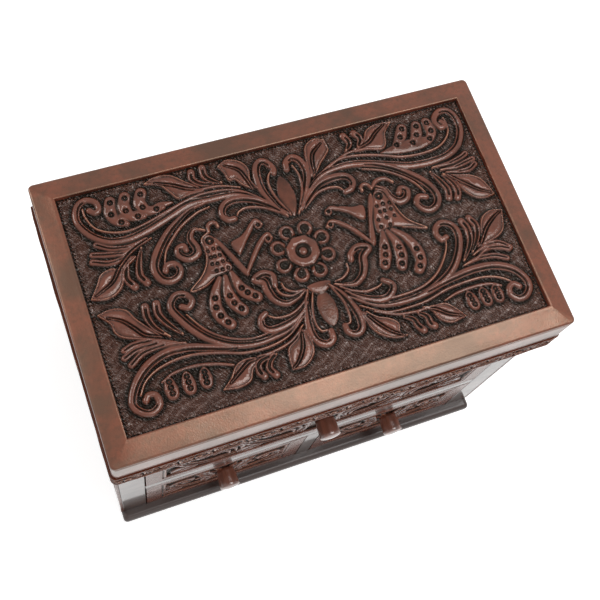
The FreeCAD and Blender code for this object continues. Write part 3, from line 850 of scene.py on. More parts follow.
def tool_back_left(t):
    """Scrolls, leaves and pods behind the left bird."""
    t.stem(
        "-2,22 -8,29 -15,36 -24,40.5 -35,41.3 -47,41.5 -58,38 -70,34 -80,32 -89,33 -96,37.5 -100.5,44"
        " -101.5,50 -99,55.5 -94.5,57.3 -90.5,55 -89.8,51 -92,49.5 -94.3,51.5"
    )
    t.thread(
        "0,22 -6,29 -12,35 -18,40 -25,43.5 -35,45 -45,44.5 -58,41 -70,37.5 -79,36 -87.5,37.5 -94,41.5"
        " -97,48 -97.3,53"
    )
    t.curl(
        "-40,40 -48,38.5 -56,34 -62,29.5 -68,23 -72,17 -73,12 -71,7 -67,5.5 -63,7 -61.5,10.5"
        " -63.5,13.5 -67,13.5 -68.5,11"
    )
    t.thread("-38,37.5 -45,36 -54,31.5 -60,26.5 -65,21 -68,14")
    t.fan(
        "-72,30 -82,28 -90,29.5 -96,33",
        "-74,29 -85,25.5 -93,27 -99,28.5",
        "-78,27.5 -86,23 -93,22.5 -100,25",
    )
    t.finger("-84.5,7.5 -87,12 -86,17 -83,24", "-78.5,8 -80.5,12 -79.5,18 -76,26")
    t.leaf(
        "-82,23 -88,18 -93,19 -98,17.5 -101,13 -105.5,7",
        "-80,22 -87,17 -90,10 -95,6 -101,5.5 -105.5,7",
        "-70,29.5 -80,25.5 -88,19.5 -94,12.5 -103,8",
    )
    t.body(points_of("-84,42 -70,40.5 -60,43 -54,45 -60,47 -66,46 -76,46 -82,46"), 0.75)
    t.pod("-83.5,53.5 -85,48 -83.5,43 -79,40")
    t.pod("-76,54 -78,49 -76,43.5 -70,41.5")
    t.pod("-68,54 -70,49 -67.5,44 -60,43.5")
    t.leaf(
        "-40,49 -46,54 -52,59 -59,60 -65,58",
        "-38,46.5 -45,46.5 -51,46 -54,50 -58,55.5 -65,58",
        "-40,48 -46,50 -52,53.5 -60,57",
    )
    t.thread("-52,46.8 -40,47.5 -30,47 -20,43.5")
    t.finger("-41,58 -41.5,54 -38,50.5 -32,49", "-35,59 -35,54 -32,50.5 -28,48.5")
    t.leaf(
        "-12,41 -14,46 -13,52 -16,57 -22,59.5 -27,57.5",
        "-14,41 -18,44.5 -21,48.5 -24,49 -25,53 -27,57.5",
        "-14,41 -15.5,47 -18,53 -24,57",
    )


def tool_front_left(t):
    """Scrolls, leaves and pods in front of the left bird."""
    t.curl(
        "-10,-27 -20,-34 -30,-36 -40,-36.2 -50,-33.5 -58,-28.5 -64,-22 -69,-14 -71.5,-8 -70,-4"
        " -66.5,-2 -62.5,-3.5 -61,-7 -63.5,-9.8 -66.5,-8.5"
    )
    t.thread("-30,-33 -40,-33.3 -49,-30.5 -56,-26 -61,-20.5 -65.5,-13")
    t.thread("-12,-30 -22,-37 -33,-39.6 -45,-39 -55,-35.8 -66,-33 -76,-32.5 -86,-34.5 -93,-38.5 -97,-44")
    t.stem(
        "-40,-36.5 -50,-34.8 -60,-31.5 -70,-28.5 -80,-28 -89,-31 -96,-36.5 -100.5,-43 -101.5,-48"
        " -98.5,-52 -94,-53.3 -90,-50.5 -90.5,-46 -93.5,-45 -95.5,-47"
    )
    t.fan(
        "-74,-24.5 -85,-20.5 -93,-20 -98,-21.5",
        "-72,-25.5 -83,-22.5 -92,-22.5 -99,-25",
        "-70,-26 -80,-24.3 -90,-25 -97,-29",
    )
    t.finger("-83,-3.5 -83.5,-9 -81.5,-15 -76,-21", "-77.5,-3.5 -78,-9 -75,-15 -70,-21.5")
    t.leaf(
        "-80,-20 -88.5,-9 -92,-3 -98,-0.5 -105,-1.5",
        "-82,-19.5 -86.5,-19 -96,-15.5 -99.5,-12 -100.5,-7 -105,-1.5",
        "-80,-20 -87,-17 -91,-12 -95,-7.5 -101,-4",
    )
    t.ridge(points_of("-86,-41 -80,-38.5 -70,-38 -60,-40 -52,-43"), BRANCH, 0.75)
    t.pod("-83,-48 -83,-40.5")
    t.pod("-74.5,-48 -74.5,-40.5")
    t.pod("-66.5,-47.5 -66,-41")
    t.leaf(
        "-41,-43 -46,-42.3 -51,-44 -55,-49 -60,-53",
        "-39,-44.5 -44,-47.5 -47,-52.5 -53,-54 -60,-53",
        "-41,-43.5 -45,-44 -50,-47 -56,-51",
    )
    t.finger("-40,-52.5 -41.5,-49.5 -40,-45.5 -32,-43.5", "-34.5,-53.5 -36.5,-50 -35,-46.5 -31,-44")
    t.thread("-40,-42.5 -32,-42.5 -22,-40 -14,-34")
    t.leaf(
        "-16,-36 -19,-40 -24,-43 -25.5,-47 -26,-53.5",
        "-14,-37 -13,-45 -15,-50 -20,-53.5 -26,-53.5",
        "-16,-38 -18,-45 -22,-50.5 -25.5,-53",
    )


def tool_back_right(t):
    """Scrolls, leaves and pods behind the right bird."""
    t.thread(
        "8,27 20,38 30,43.5 38,45 48,43.5 58,40.5 66,37.5 75,36.3 85,36.8 91,39 95.5,43 97.5,48 97,53"
    )
    t.stem(
        "6,24 14,33 22,38.5 32,40.5 42,40 52,37 62,33.5 70,31.2 80,30.5 90,31.5 98,35.5 103,43 104,50"
        " 101.5,56 97,57.3 93,55 91.5,51.5 93.5,48 96.5,48.5 95,51"
    )
    t.curl("40,39.5 50,37.5 60,32.5 68,26 74,19 76.5,12 74.5,7 70,5 66,7 64.5,11 67,13.5 70.5,12.5")
    t.thread("44,36.3 54,32.5 62,27 67.5,21.5 71,15")
    t.fan("80,27 90,27 97,28.5 100.5,30", "84,24.5 92,24 100,25.5 103,26", "86,22.5 93,21 99,21 103,23")
    t.finger("82,8.5 83,13 81,19 78,25", "86.5,7.5 88,11 87,16 84,21.5")
    t.leaf(
        "84,22 90,19.5 97,17.5 102,14 104.5,9 106,4",
        "85,21 89,17 91,11 95,5.5 100,3.5 106,4",
        "86,21 93,14 99,8.5 105,5",
    )
    t.body(points_of("56,42.5 62,40 68,39 76,38.5 84,40 88,44 80,46 70,46 62,44.5"), 0.75)
    t.pod("73,53 70,48 65,43")
    t.pod("81,52.5 79,47 74,42")
    t.pod("87,53 87.5,47 84,41.5")
    t.leaf(
        "44,48 47,48.5 51,52 54,56.5 60,58.5 68,58",
        "44,46.5 50,46.5 58,44.5 61,47 63,53 68,58",
        "46,48 53,50 58,54 64,57.5",
    )
    t.thread("58,44.5 48,47 38,46.5 28,42")
    t.finger("41,57 42.5,52 39,48", "47,57 49,53 46,48.5")
    t.leaf(
        "15,39 17,44 18,51 20,56.5 25,59 30,57.5",
        "18,39 21,42 24,45.5 28,49 30.5,52 30,57.5",
        "19.5,41 20,46 22,51.5 28,56",
    )


def tool_front_right(t):
    """Scrolls, leaves and pods in front of the right bird."""
    t.thread("14,-27 25,-33 40,-34 50,-32.8 58,-29.5 64,-24.5 69,-18 71.5,-12")
    t.curl(
        "12,-27 24,-35 36,-37.3 50,-36.5 62,-32.5 70,-27 76,-19 78.5,-12 77.5,-6.5 73,-3.5 69,-5"
        " 67.5,-8.5 69,-12 72,-11.5"
    )
    t.thread("16,-33 28,-40 40,-41 50,-40.3 60,-38 70,-37 80,-37 87,-38.5 92.5,-41.5 96.5,-45.5")
    t.stem(
        "44,-37.5 58,-34.5 70,-32.5 80,-31.8 90,-33 98,-37 102.5,-43 103,-48.5 99.5,-52.5 95,-53"
        " 92,-50 92.5,-46.5 95.5,-45 98,-47"
    )
    t.fan(
        "82,-24.5 91,-21.5 97,-22 102,-26",
        "84,-26 91,-23.3 97,-24.5 101,-26.5",
        "75,-28.5 84,-27 92,-28 98,-31",
    )
    t.finger("83,-5.5 84.5,-11 82.5,-18 76,-26", "87.5,-5 89.5,-10 87.5,-16 82,-23")
    t.leaf(
        "86,-20 90,-18 92,-11 95,-6.5 100,-4.5 106,-5.5",
        "86,-21 92,-20 98,-18.5 102,-16 104,-12 106,-5.5",
        "88,-20 94,-13 100,-8.5 105,-6",
    )
    t.ridge(points_of("58,-43 66,-41 76,-40.5 84,-41.5 89,-44"), BRANCH, 0.75)
    t.pod("72,-49.5 71,-43")
    t.pod("79,-49.5 78.5,-43")
    t.pod("85.5,-49.5 85.5,-43.5")
    t.leaf(
        "46,-43 50,-44 57,-44.5 61,-48 65,-53.5",
        "47,-44.5 50,-46 52,-51 57,-54.3 65,-53.5",
        "48,-44.5 52,-46 57,-50 64,-53",
    )
    t.finger("42,-54 40,-51 39,-47.5 35,-44.5", "48,-53.5 46.5,-52 46,-48 42,-44.5")
    t.thread("52,-43.8 42,-44 32,-42.5 22,-38")
    t.leaf(
        "15,-36 17.5,-45 21,-50 27,-53.5 33,-54",
        "18,-37 22,-41 28,-44 31,-47.5 30,-51.5 33,-54",
        "18,-39 22,-45 27,-50.5 32,-53.5",
    )


# ---- Repeated figures of the case ----


def tool_acanthus(t, at, scale, flip):
    """One scroll of acanthus, 40 mm long at full scale, that grows outwards from the lower left."""
    t.put(at, scale, flip)
    t.curl("0,-11 8,-13 18,-13 28,-9 34.5,-2 35,6 30.5,12 23.5,12.5 19.5,8 21,3 25.5,3 26.5,6.5 24,7.5")
    t.thread("2,-8 10,-9.8 18,-9.5 25,-6 30.5,0 31,5 28.5,8.5")
    t.fan("7,-9 8,-3 12,2 16,1", "3,-8 4,-1 8,5 13,6", "0,-7 0.5,1 3,8 8,11", "-1,-4 -1,4 0,10 2,14")
    t.leaf(
        "27,-10 31,-9 37,-6 40,-9 41,-14",
        "26,-12 28,-15 33,-17 38,-16 41,-14",
        "28,-11.5 34,-12 39,-13.5",
    )
    t.leaf("36,0 38.5,3 40,8 40,14", "35,4 36,9 38,13 40,14", "36,3 38,9 39.5,13")
    t.pod("14,14.5 12,10 12,6")


def tool_flower(t, at):
    """Round flower of eight petals."""
    t.put(at)
    for turn in range(8):
        way = np.array([math.cos(turn * math.pi / 4 + 0.39), math.sin(turn * math.pi / 4 + 0.39)])
        t.ridge(np.array([6.0 * way, 10.0 * way]), (2.4, 3.4))
        t.cut(np.array([8.6 * way, 10.4 * way]), (1.2, 1.9), 0.6)
    t.body(6.4 * np.array([[math.cos(a), math.sin(a)] for a in np.arange(0, 6.2, 0.7854)]), 1.0)
    t.cut(spot(0, 0), (3.6,), 0.55)
    t.ridge(spot(0, 0), (2.6,))


def tool_wall(t, columns):
    """Four scrolls round a flower, in each column."""
    for x in columns:
        for flip in ((1, 1), (-1, 1), (1, -1), (-1, -1)):
            tool_acanthus(t, (x, flip[1] * 29), 1.25, flip)
        tool_flower(t, (x, 0))


def tool_facing(t, scrolls, scale):
    """Scrolls beside the knob, and fans that spring from behind it."""
    for x in scrolls:
        tool_acanthus(t, (x, 0), scale, (1 if x > 0 else -1, 1))
    for side in (-1, 1):
        t.put(flip=(side, 1))
        t.fan("8,-3 10,-9 11,-14", "8,3 11,9 12,14", "8,0 12,-3 14,-9")


# ---- Pieces ----

UP = Vector((0, 0, 1))
BAYS = ("upper", "lower_left", "lower_right")


class BoxOperator:
    """What every operator of the box shares."""

    bl_options = {"REGISTER", "UNDO"}


def box_mm(name):
    """Lowest and highest corners of a fixed node, in millimetres."""
    low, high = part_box(name)
    return np.array(low) / MM, np.array(high) / MM


def dyed_leather():
    """Leather of the lid's frame and the back rim."""
    s = bpy.context.scene.box_leather
    name = "vegetable_tanned_leather_dyed_and_waxed"
    made = bpy.data.materials.get(name)
    if made:
        return made
    return waxed_leather(name, s.smooth, s.smooth_dark, shine=0.95, coat=0.2, grain=0.24, grained_coat=True)


def polished_tooled_leather():
    """Tooled leather of the case, with less wax than the lid's."""
    name = "vegetable_tanned_leather_tooled_and_polished"
    return bpy.data.materials.get(name) or tooled_leather(name, polish=0.2, shine=0.1, glint=0.0)


def tooled_wall(node_name, body, across, pitch, relief, dip, margins, figures, *details):
    """Stands tooled leather for an upright node; across points to the right along its outside."""
    low, high = box_mm(node_name)
    out = across.cross(UP)
    wide, thick, tall = (abs(np.array(way) @ (high - low)) for way in (across, out, UP))
    t = Tooling(wide, tall, pitch)
    figures(t, *details)
    t.raise_margin(*margins)
    height = t.relief_mm(relief, dip) - relief
    surface = (low + high) / 2 + np.array(out) * thick / 2
    placing = Matrix.Translation(Vector(surface) * MM) @ Matrix((across, UP, out)).transposed().to_4x4()
    obj = tooled_sheet(node_name + "_tooled", t, height, thick, placing)
    dress(obj, polished_tooled_leather(), body)
    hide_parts(node_name)


class JBOX_OT_lid_frame(BoxOperator, Operator):
    """Leather-wrapped frame of the lid: four mitred rails under one skin, sloping outwards to a soft edge"""

    bl_idname = "jewelry_box.lid_frame"
    bl_label = "Lid frame"

    drop = 2.4  # the top falls by this much from the panel to the outside, in millimetres
    mitre = 8.0  # width over which the leather rounds each mitre

    def execute(self, context):
        low, high = box_mm("lid_front_rail")
        back = box_mm("lid_back_rail")[1][1]
        half, front, bottom, top = high[0], low[1], low[2], high[2]
        width = half - box_mm("lid_tooled_panel")[1][0]
        section = self.section(width, bottom, top)
        ring = self.ring(half, front, back)
        vertices = []
        for (x, y), (ix, iy), run in ring:
            # Leather laid by hand is never quite flat
            wave = 0.10 * math.sin(run / 9.3 + 0.7) + 0.07 * math.sin(run / 4.1)
            for d, z in section:
                share = d / width
                px, py = x + (ix - x) * share, y + (iy - y) * share
                if z > top - 3.5 and 0 < share < 1:
                    # The top rounds into its neighbour over the mitre
                    gap = abs((half - abs(px)) - min(py - front, back - py))
                    rounded = max(0.0, 1 - gap / self.mitre) ** 2 * self.mitre / 4
                    z -= self.drop / width * min(rounded, d) * (1 - share)
                lift = wave * math.sin(math.pi * share) if z > top - 3 else 0
                vertices.append((px, py, z + lift))
        faces = ring_faces(len(ring), len(section), closed=True)
        obj = new_object("lid_frame_leather", np.array(vertices) * MM, faces, [True] * len(faces))
        obj.data.set_sharp_from_angle(angle=math.radians(50))
        dress(obj, dyed_leather(), "lid")
        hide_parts("lid_front_rail", "lid_right_rail", "lid_back_rail", "lid_left_rail")
        return {"FINISHED"}

    def section(self, width, bottom, top, soft=1.4):
        """Section of a rail, as distance from the outside and height, from its inside over to its wall."""
        section = [(width, bottom), (width, top - 0.5), (width - 0.2, top - 0.12), (width - 0.7, top)]
        section += [(d, top - self.drop * (1 - d / width) ** 1.15) for d in (9, 7, 5, 3.2)]
        edge = top - self.drop - soft * 0.55
        for a in np.radians(np.linspace(78, 0, 7)):
            section.append((soft * (1 - math.cos(a)), edge + soft * math.sin(a) * 0.78))
        crease = edge - 0.9
        section += [(0.0, crease + 0.3), (0.28, crease), (0.0, crease - 0.3)]
        section += [(0.0, z) for z in np.linspace(top - 7, bottom + 1.2, 5)]
        return section + [(0.25, bottom + 0.4), (0.9, bottom)]

    def ring(self, half, front, back, radius=2.5, spacing=6.0):
        """Points round the outside, each with its point on the inside and its run along the frame.

        They lie closer together by the corners, where the mitres are rounded.
        """
        (left, near, _), (right, far, _) = box_mm("lid_tooled_panel")
        corners = np.array([(half, front), (half, back), (-half, back), (-half, front)])
        ring, run = [], 0.0
        for index, corner in enumerate(corners):
            inside = (right if corner[0] > 0 else left), (far if corner[1] > 0 else near)
            middle = corner - radius * np.sign(corner)
            start = math.radians(-90 + 90 * index)
            for a in start + np.linspace(0, math.pi / 2, 7):
                ring.append((middle + radius * np.array([math.cos(a), math.sin(a)]), inside, run))
            following = corners[(index + 1) % 4]
            first = ring[-1][0]
            last = following - radius * np.sign(following - corner)
            stretch = np.hypot(*(last - first))
            pieces = int(stretch / spacing)
            close = [k / 4 for k in range(1, 8)]
            for step in sorted({*range(1, pieces), *close, *(pieces - k for k in close)}):
                x, y = first + (last - first) * step / pieces
                if following[1] == corner[1]:
                    across = np.interp(x, (-half + radius, half - radius), (left, right)), inside[1]
                else:
                    across = inside[0], np.interp(y, (front + radius, back - radius), (near, far))
                ring.append(((x, y), across, run + stretch * step / pieces))
            run += stretch
        return ring


class JBOX_OT_lid_panel(BoxOperator, Operator):
    """Tooled panel of the lid: flower, lilies, scrolls and two birds raised over a matted ground"""

    bl_idname = "jewelry_box.lid_panel"
    bl_label = "Lid panel"

    triangles = 193000  # most that the panel keeps

    def execute(self, context):
        low, high = box_mm("lid_tooled_panel")
        relief = context.scene.box_leather.relief / MM
        wide, deep, _ = high - low
        t = Tooling(wide, deep, 0.36)
        tool_back_left(t)
        tool_back_right(t)
        tool_front_left(t)
        tool_front_right(t)
        tool_sprays(t)
        tool_left_bird(t)
        tool_right_bird(t)
        tool_rosette(t)
        t.stamp_edge()
        height = t.relief_mm(relief)
        middle = (low + high) / 2
        ground_level = high[2] - relief
        placing = Matrix.Translation(Vector((middle[0], middle[1], ground_level)) * MM)
        keep = min(1.0, self.triangles / (2 * height.size))
        obj = tooled_sheet("lid_tooled_leather", t, height, ground_level - low[2], placing, keep)
        # Its colour holds paste with painted shade and painted highlights
        name = "vegetable_tanned_leather_tooled_and_antiqued"
        material = tooled_leather(name, polish=0.8, shine=0.18, glint=0.85)
        dress(obj, material, "lid")
        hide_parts("lid_tooled_panel")
        return {"FINISHED"}


class JBOX_OT_rim(BoxOperator, Operator):
    """Tooled rim under the lid: one strip of running scrolls round both sides and the front"""

    bl_idname = "jewelry_box.rim"
    bl_label = "Tooled rim"

    relief = 1.1  # millimetres
    scrolls = 30

    def execute(self, context):
        low, high = box_mm("front_rim")
        side_low, side_high = box_mm("right_rim")
        pitch, tall = 0.5, high[2] - low[2]
        path = self.outline(high[0] - self.relief, low[1] + self.relief, side_high[1], 2.5, pitch)
        runs = np.concatenate([[0], np.cumsum(np.hypot(*np.diff(path, axis=0).T))])
        t = Tooling(runs[-1], tall, pitch, (runs[-1] / 2, tall / 2))
        for index in range(self.scrolls):
            at = (index * runs[-1] / self.scrolls + 1.5, tall / 2)
            tool_acanthus(t, at, 0.40, (1, 1 if index % 2 else -1))
        t.raise_margin(-9, 0.9, wall=0.4, line=9)  # a plain edge along the top and the bottom alone
        height = t.relief_mm(self.relief, 0.15)
        # Paste, with painted shade on the figures' sides and beside them, and a painted highlight on their
        # crests
        paste_and_shade, ground = t.looks(height, 1.4)

        # The strip bent round the case, with a plain back and ledges
        rows, cols = height.shape
        x, y = np.interp(t.x, runs, path[:, 0]), np.interp(t.x, runs, path[:, 1])
        way_x, way_y = np.gradient(x, t.x), np.gradient(y, t.x)
        size = np.hypot(way_x, way_y)
        level = np.repeat((low[2] + t.y)[:, None], cols, axis=1)
        strip = np.stack([x + way_y / size * height, y - way_x / size * height, level], axis=-1)
        inner = np.clip(x, -side_low[0], side_low[0]), np.maximum(y, high[1])
        ledges = [np.column_stack([*inner, np.full(cols, z)]) for z in (low[2], high[2])]
        numbers = np.arange((rows + 2) * cols).reshape(rows + 2, cols)
        face, (base, top) = numbers[:rows], numbers[rows:]
        round_it = np.vstack([base, face, top, base])
        faces = grid_faces(round_it).tolist()
        smooth = np.zeros(len(faces) + 2, dtype=bool)
        smooth[cols - 1 : rows * (cols - 1)] = True
        faces += [round_it[:-1, 0].tolist(), round_it[-2::-1, -1].tolist()]
        vertices = np.vstack([strip.reshape(-1, 3), *ledges]) * MM
        obj = new_object("rim_tooled_leather", vertices, faces, smooth)
        plain = 2 * cols
        write_looks(obj, np.append(paste_and_shade, np.full(plain, 0.2)), np.append(ground, np.zeros(plain)))
        dress(obj, polished_tooled_leather(), "case")
        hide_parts("front_rim", "left_rim", "right_rim")
        return {"FINISHED"}

    def outline(self, half, front, back, radius, step):
        """Left side, front and right side of the case from above, with round corners, a sample each step."""
        turns = np.linspace(0, math.pi / 2, 9)
        bend = radius * np.stack([np.sin(turns), 1 - np.cos(turns)], axis=-1)
        return np.vstack([
            [(-half, y) for y in np.arange(back, front + radius, -step)],
            (-half + radius, front) + bend[::-1] * (-1, 1),
            [(x, front) for x in np.arange(-half + radius + step, half - radius, step)],
            (half - radius, front) + bend,
            [(half, y) for y in np.arange(front + radius + step, back + step / 2, step)],
        ])


class JBOX_OT_case_sides(BoxOperator, Operator):
    """Tooled leather on both sides and the back of the case"""

    bl_idname = "jewelry_box.case_sides"
    bl_label = "Side and back leather"

    def execute(self, context):
        for name, across, pitch, columns in (
            ("left_leather", (0, -1, 0), 0.6, (0,)),
            ("right_leather", (0, 1, 0), 0.6, (0,)),
            ("back_leather", (-1, 0, 0), 0.75, (-52, 52)),
        ):
            tooled_wall(name, "case", Vector(across), pitch, 1.0, 0.1, (9, 8), tool_wall, columns)
        return {"FINISHED"}


class JBOX_OT_drawer_facings(BoxOperator, Operator):
    """Leather facings of the three drawers, each with a sunken tooled panel"""

    bl_idname = "jewelry_box.drawer_facings"
    bl_label = "Drawer facings"

    def execute(self, context):
        across = Vector((1, 0, 0))
        for bay, scrolls, scale in zip(BAYS, ((-48, -10, 10, 48), (-4, 4), (-4, 4)), (0.98, 0.86, 0.86)):
            name, body = bay + "_drawer_facing", bay + "_drawer"
            tooled_wall(name, body, across, 0.5, 1.3, 0.15, (11.5, 8.0), tool_facing, scrolls, scale)
        return {"FINISHED"}


class JBOX_OT_knobs(BoxOperator, Operator):
    """Turned wooden knobs, a little narrower at the root, with a softly domed face"""

    bl_idname = "jewelry_box.knobs"
    bl_label = "Knobs"

    sides = 56

    def execute(self, context):
        s = context.scene.box_wood
        material = wood("beech_turned_and_stained", s.knob, s.knob_dark, "Y", roughness=0.3, coat=0.9)
        for bay in BAYS:
            name = bay + "_drawer_knob"
            low, high = box_mm(name)
            obj = self.turned(name + "_turned", (low + high) / 2, low[1], (high[0] - low[0]) / 2)
            dress(obj, material, bay + "_drawer")
            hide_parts(name)
        return {"FINISHED"}

    def turned(self, name, middle, face, radius):
        """Knob turned about its own axis, from the middle of its face back to its root."""
        profile = [(2.0, 0.09), (4.0, 0.4), (radius - 0.9, 0.72), (radius - 0.35, 0.92), (radius - 0.1, 1.15)]
        profile += [(radius, 1.5), (radius, 3.0), (radius * 0.985, 5.0), (radius * 0.96, 7.5)]
        profile += [(radius * 0.93, 10.0), (radius * 0.93, 12.2)]
        sides = self.sides
        x, z = middle[0], middle[2]
        vertices = [(x, face, z)]
        for reach, depth in profile:
            for a in 2 * math.pi * np.arange(sides) / sides:
                vertices.append((x + reach * math.cos(a), face + depth, z + reach * math.sin(a)))
        faces = [(0, 1 + k, 1 + (k + 1) % sides) for k in range(sides)]
        faces += ring_faces(len(profile), sides, first=1)
        faces.append(range(len(vertices) - 1, len(vertices) - 1 - sides, -1))
        return new_object(name, np.array(vertices) * MM, faces, [True] * (len(faces) - 1) + [False])


class JBOX_OT_case_leather(BoxOperator, Operator):
    """Smooth leather of the stiles, rails, divider and back rim"""

    bl_idname = "jewelry_box.case_leather"
    bl_label = "Case leather"

    def execute(self, context):
        s = context.scene.box_leather
        name = "vegetable_tanned_leather_dyed_dark_and_polished"
        dark = waxed_leather(name, s.case, s.case_dark, shine=0.1, coat=0.62, grain=0.12, grained_coat=False)
        nodes = ("left_stile", "right_stile", "compartment_front", "mid_rail", "divider")
        dress_nodes(dark, nodes, edge=0.5 * MM)
        dress_nodes(dyed_leather(), ("back_rim",))
        return {"FINISHED"}


class JBOX_OT_woodwork(BoxOperator, Operator):
    """Base board, case boards and drawer boxes"""

    bl_idname = "jewelry_box.woodwork"
    bl_label = "Woodwork"

    def execute(self, context):
        s = context.scene.box_wood
        stained = wood("cedar_stained_and_lacquered", s.base, s.base_light, "X", roughness=0.42, coat=0.2)
        oiled = wood("cedar_planed_and_oiled", s.inner, s.inner_dark, "X", roughness=0.55, coat=0.0)
        across = wood("cedar_planed_and_oiled_across", s.inner, s.inner_dark, "Y", roughness=0.55, coat=0.0)
        dress_nodes(stained, ("base_board",))
        lengthwise = ["lid_board", "compartment_floor", "shelf", "back_panel"]
        deep = ["left_side_board", "right_side_board", "drawer_guides"]
        for bay in BAYS:
            lengthwise += [bay + "_drawer_front", bay + "_drawer_back"]
            deep += [bay + "_drawer_left_side", bay + "_drawer_right_side", bay + "_drawer_bottom"]
        dress_nodes(oiled, lengthwise, edge=0.4 * MM)
        dress_nodes(across, deep, edge=0.4 * MM)
        return {"FINISHED"}


class JBOX_OT_linings(BoxOperator, Operator):
    """Suede cloth linings, and the felt under the base"""

    bl_idname = "jewelry_box.linings"
    bl_label = "Linings and felt"

    def execute(self, context):
        s = context.scene.box_trim
        nodes = ["compartment_floor_lining", "compartment_wall_lining", "lid_mirror_surround"]
        nodes += [bay + "_drawer_lining" for bay in BAYS]
        suede = napped_cloth("suede_cloth_brushed", s.lining, fibre_mm=0.7, sheen=0.5)
        felt = napped_cloth("wool_felt_pressed", s.felt, fibre_mm=0.9, sheen=0.2)
        dress_nodes(suede, nodes, edge=0.35 * MM)
        dress_nodes(felt, ("base_felt",), edge=0.2 * MM)
        return {"FINISHED"}


class JBOX_OT_hardware(BoxOperator, Operator):
    """Brass hinges with their pins and screws, and the mirror"""

    bl_idname = "jewelry_box.hardware"
    bl_label = "Hinges and mirror"

    def execute(self, context):
        brass = pressed_brass()
        dress_nodes(brass, ("hinge_case_leaves", "hinge_lid_leaves"), edge=0.15 * MM)
        dress_nodes(brass, ("hinge_pins", "hinge_case_screws", "hinge_lid_screws"))
        dress_nodes(silvered_glass(), ("lid_mirror",), edge=0.5 * MM)
        return {"FINISHED"}


# ---- Stage ----


def seen_factor(tree):
    """1 for rays that see a surface straight, in a gloss or through glass."""
    rays = node(tree, "LightPath").node.outputs
    glossy = node(tree, "Math", (rays["Is Camera Ray"], rays["Is Glossy Ray"]), operation="MAXIMUM")
    return node(tree, "Math", (glossy, rays["Is Transmission Ray"]), operation="MAXIMUM")


def pale_floor():
    """Matt painted board: pale and even, it shows the box's own shadow and glows softly where it is seen."""
    s = bpy.context.scene.box_stage
    material, tree, place = new_material("board_painted_matt")
    tone = node(tree, "TexNoise", {"Vector": place, "Scale": per_mm(1000 / 3), "Detail": 2.0})
    shades = {MIX: tone, FIRST: rgba(s.floor), SECOND: rgba(s.floor, 0.985)}
    paint = node(tree, "BsdfDiffuse", {"Color": node(tree, "Mix", shades, MIXED, data_type="RGBA")})
    glow = node(tree, "Emission", {"Color": WHITE, "Strength": 0.68})
    clear = node(tree, "Emission", {"Strength": 0.0})
    seen = node(tree, "MixShader", (seen_factor(tree), clear, glow))
    node(tree, "OutputMaterial", {"Surface": node(tree, "AddShader", (paint, seen))})
    return material


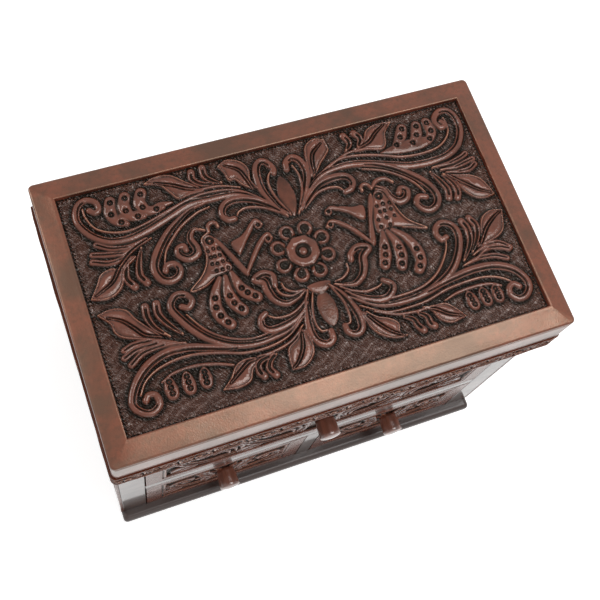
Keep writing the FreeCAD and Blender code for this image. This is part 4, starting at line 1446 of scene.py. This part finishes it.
class JBOX_OT_stage(BoxOperator, Operator):
    """Pale floor, even sky, soft lamps and the camera"""

    bl_idname = "jewelry_box.stage"
    bl_label = "Stage"

    def execute(self, context):
        scene = context.scene
        s = scene.box_stage
        corners = [(-6, -6, 0), (6, -6, 0), (6, 6, 0), (-6, 6, 0)]
        floor = new_object("floor", corners, [(0, 1, 2, 3)], [False])
        floor.data.materials.append(pale_floor())
        self.sky(scene, s.sky)
        for name, place, target, size, share in (
            ("overhead_lamp", (0.40, -0.13, 1.25), (0.40, -0.13, 0.0), (0.62, 0.62), 0.65),
            ("overhead_halo", (0.33, -0.15, 1.3), (0.33, -0.15, 0.0), (0.95, 0.85), 0.35),
            ("left_lamp", (-0.9, 0.6, 0.9), (0.0, 0.0, 0.15), (0.45, 0.45), 0.42),
            ("front_lamp", (-0.25, -1.25, 0.6), (0.0, 0.0, 0.1), (0.8, 0.6), 0.22),
        ):
            self.lamp(scene, name, place, target, size, s.power * share)
        self.camera(scene, s.lens)
        scene.view_settings.view_transform = "Standard"
        return {"FINISHED"}

    def sky(self, scene, strength):
        scene.world = bpy.data.worlds.new("even sky")
        scene.world.use_nodes = True
        tree = scene.world.node_tree
        tree.nodes.clear()
        even = node(tree, "Background", {"Color": WHITE, "Strength": strength})
        white = node(tree, "Background", {"Color": WHITE, "Strength": 1.0})
        node(tree, "OutputWorld", {"Surface": node(tree, "MixShader", (seen_factor(tree), even, white))})

    def lamp(self, scene, name, place, target, size, power):
        data = bpy.data.lights.new(name, "AREA")
        data.shape = "RECTANGLE"
        data.size, data.size_y = size
        data.energy = power
        obj = bpy.data.objects.new(name, data)
        obj.location = place
        obj.rotation_mode = "QUATERNION"
        obj.rotation_quaternion = (Vector(target) - Vector(place)).to_track_quat("-Z", "Y")
        scene.collection.objects.link(obj)

    def camera(self, scene, lens):
        data = bpy.data.cameras.new("camera")
        data.lens = lens
        data.sensor_width = 36.0
        data.clip_start, data.clip_end = 0.05, 30.0
        obj = bpy.data.objects.new("camera", data)
        obj.location = (-0.12228, -0.15398, 0.62318)
        obj.rotation_euler = [math.radians(a) for a in (20.092, -7.868, -19.754)]
        scene.collection.objects.link(obj)
        scene.camera = obj


SETTINGS = (
    ("box_leather", LeatherSettings),
    ("box_wood", WoodSettings),
    ("box_trim", TrimSettings),
    ("box_stage", StageSettings),
)

OPERATORS = (
    JBOX_OT_lid_frame,
    JBOX_OT_lid_panel,
    JBOX_OT_rim,
    JBOX_OT_case_sides,
    JBOX_OT_drawer_facings,
    JBOX_OT_knobs,
    JBOX_OT_case_leather,
    JBOX_OT_woodwork,
    JBOX_OT_linings,
    JBOX_OT_hardware,
    JBOX_OT_stage,
)


class JBOX_PT_sidebar(Panel):
    """Lists the box's settings and the operators that build its pieces"""

    bl_idname = "JBOX_PT_sidebar"
    bl_label = "Jewelry Box"
    bl_space_type = "VIEW_3D"
    bl_region_type = "UI"
    bl_category = "Jewelry Box"

    def draw(self, context):
        for name, settings in SETTINGS:
            box = self.layout.box()
            for prop in settings.__annotations__:
                box.prop(getattr(context.scene, name), prop)
        for operator in OPERATORS:
            self.layout.operator(operator.bl_idname)


def register():
    for name, settings in SETTINGS:
        bpy.utils.register_class(settings)
        setattr(bpy.types.Scene, name, PointerProperty(type=settings))
    for cls in (*OPERATORS, JBOX_PT_sidebar):
        bpy.utils.register_class(cls)


def unregister():
    for cls in reversed((*OPERATORS, JBOX_PT_sidebar)):
        bpy.utils.unregister_class(cls)
    for name, settings in reversed(SETTINGS):
        delattr(bpy.types.Scene, name)
        bpy.utils.unregister_class(settings)


def main():
    register()
    for operator in OPERATORS:
        group, name = operator.bl_idname.split(".")
        if getattr(getattr(bpy.ops, group), name)() != {"FINISHED"}:
            raise RuntimeError(operator.bl_label + " did not finish")


if __name__ == "__main__":
    main()
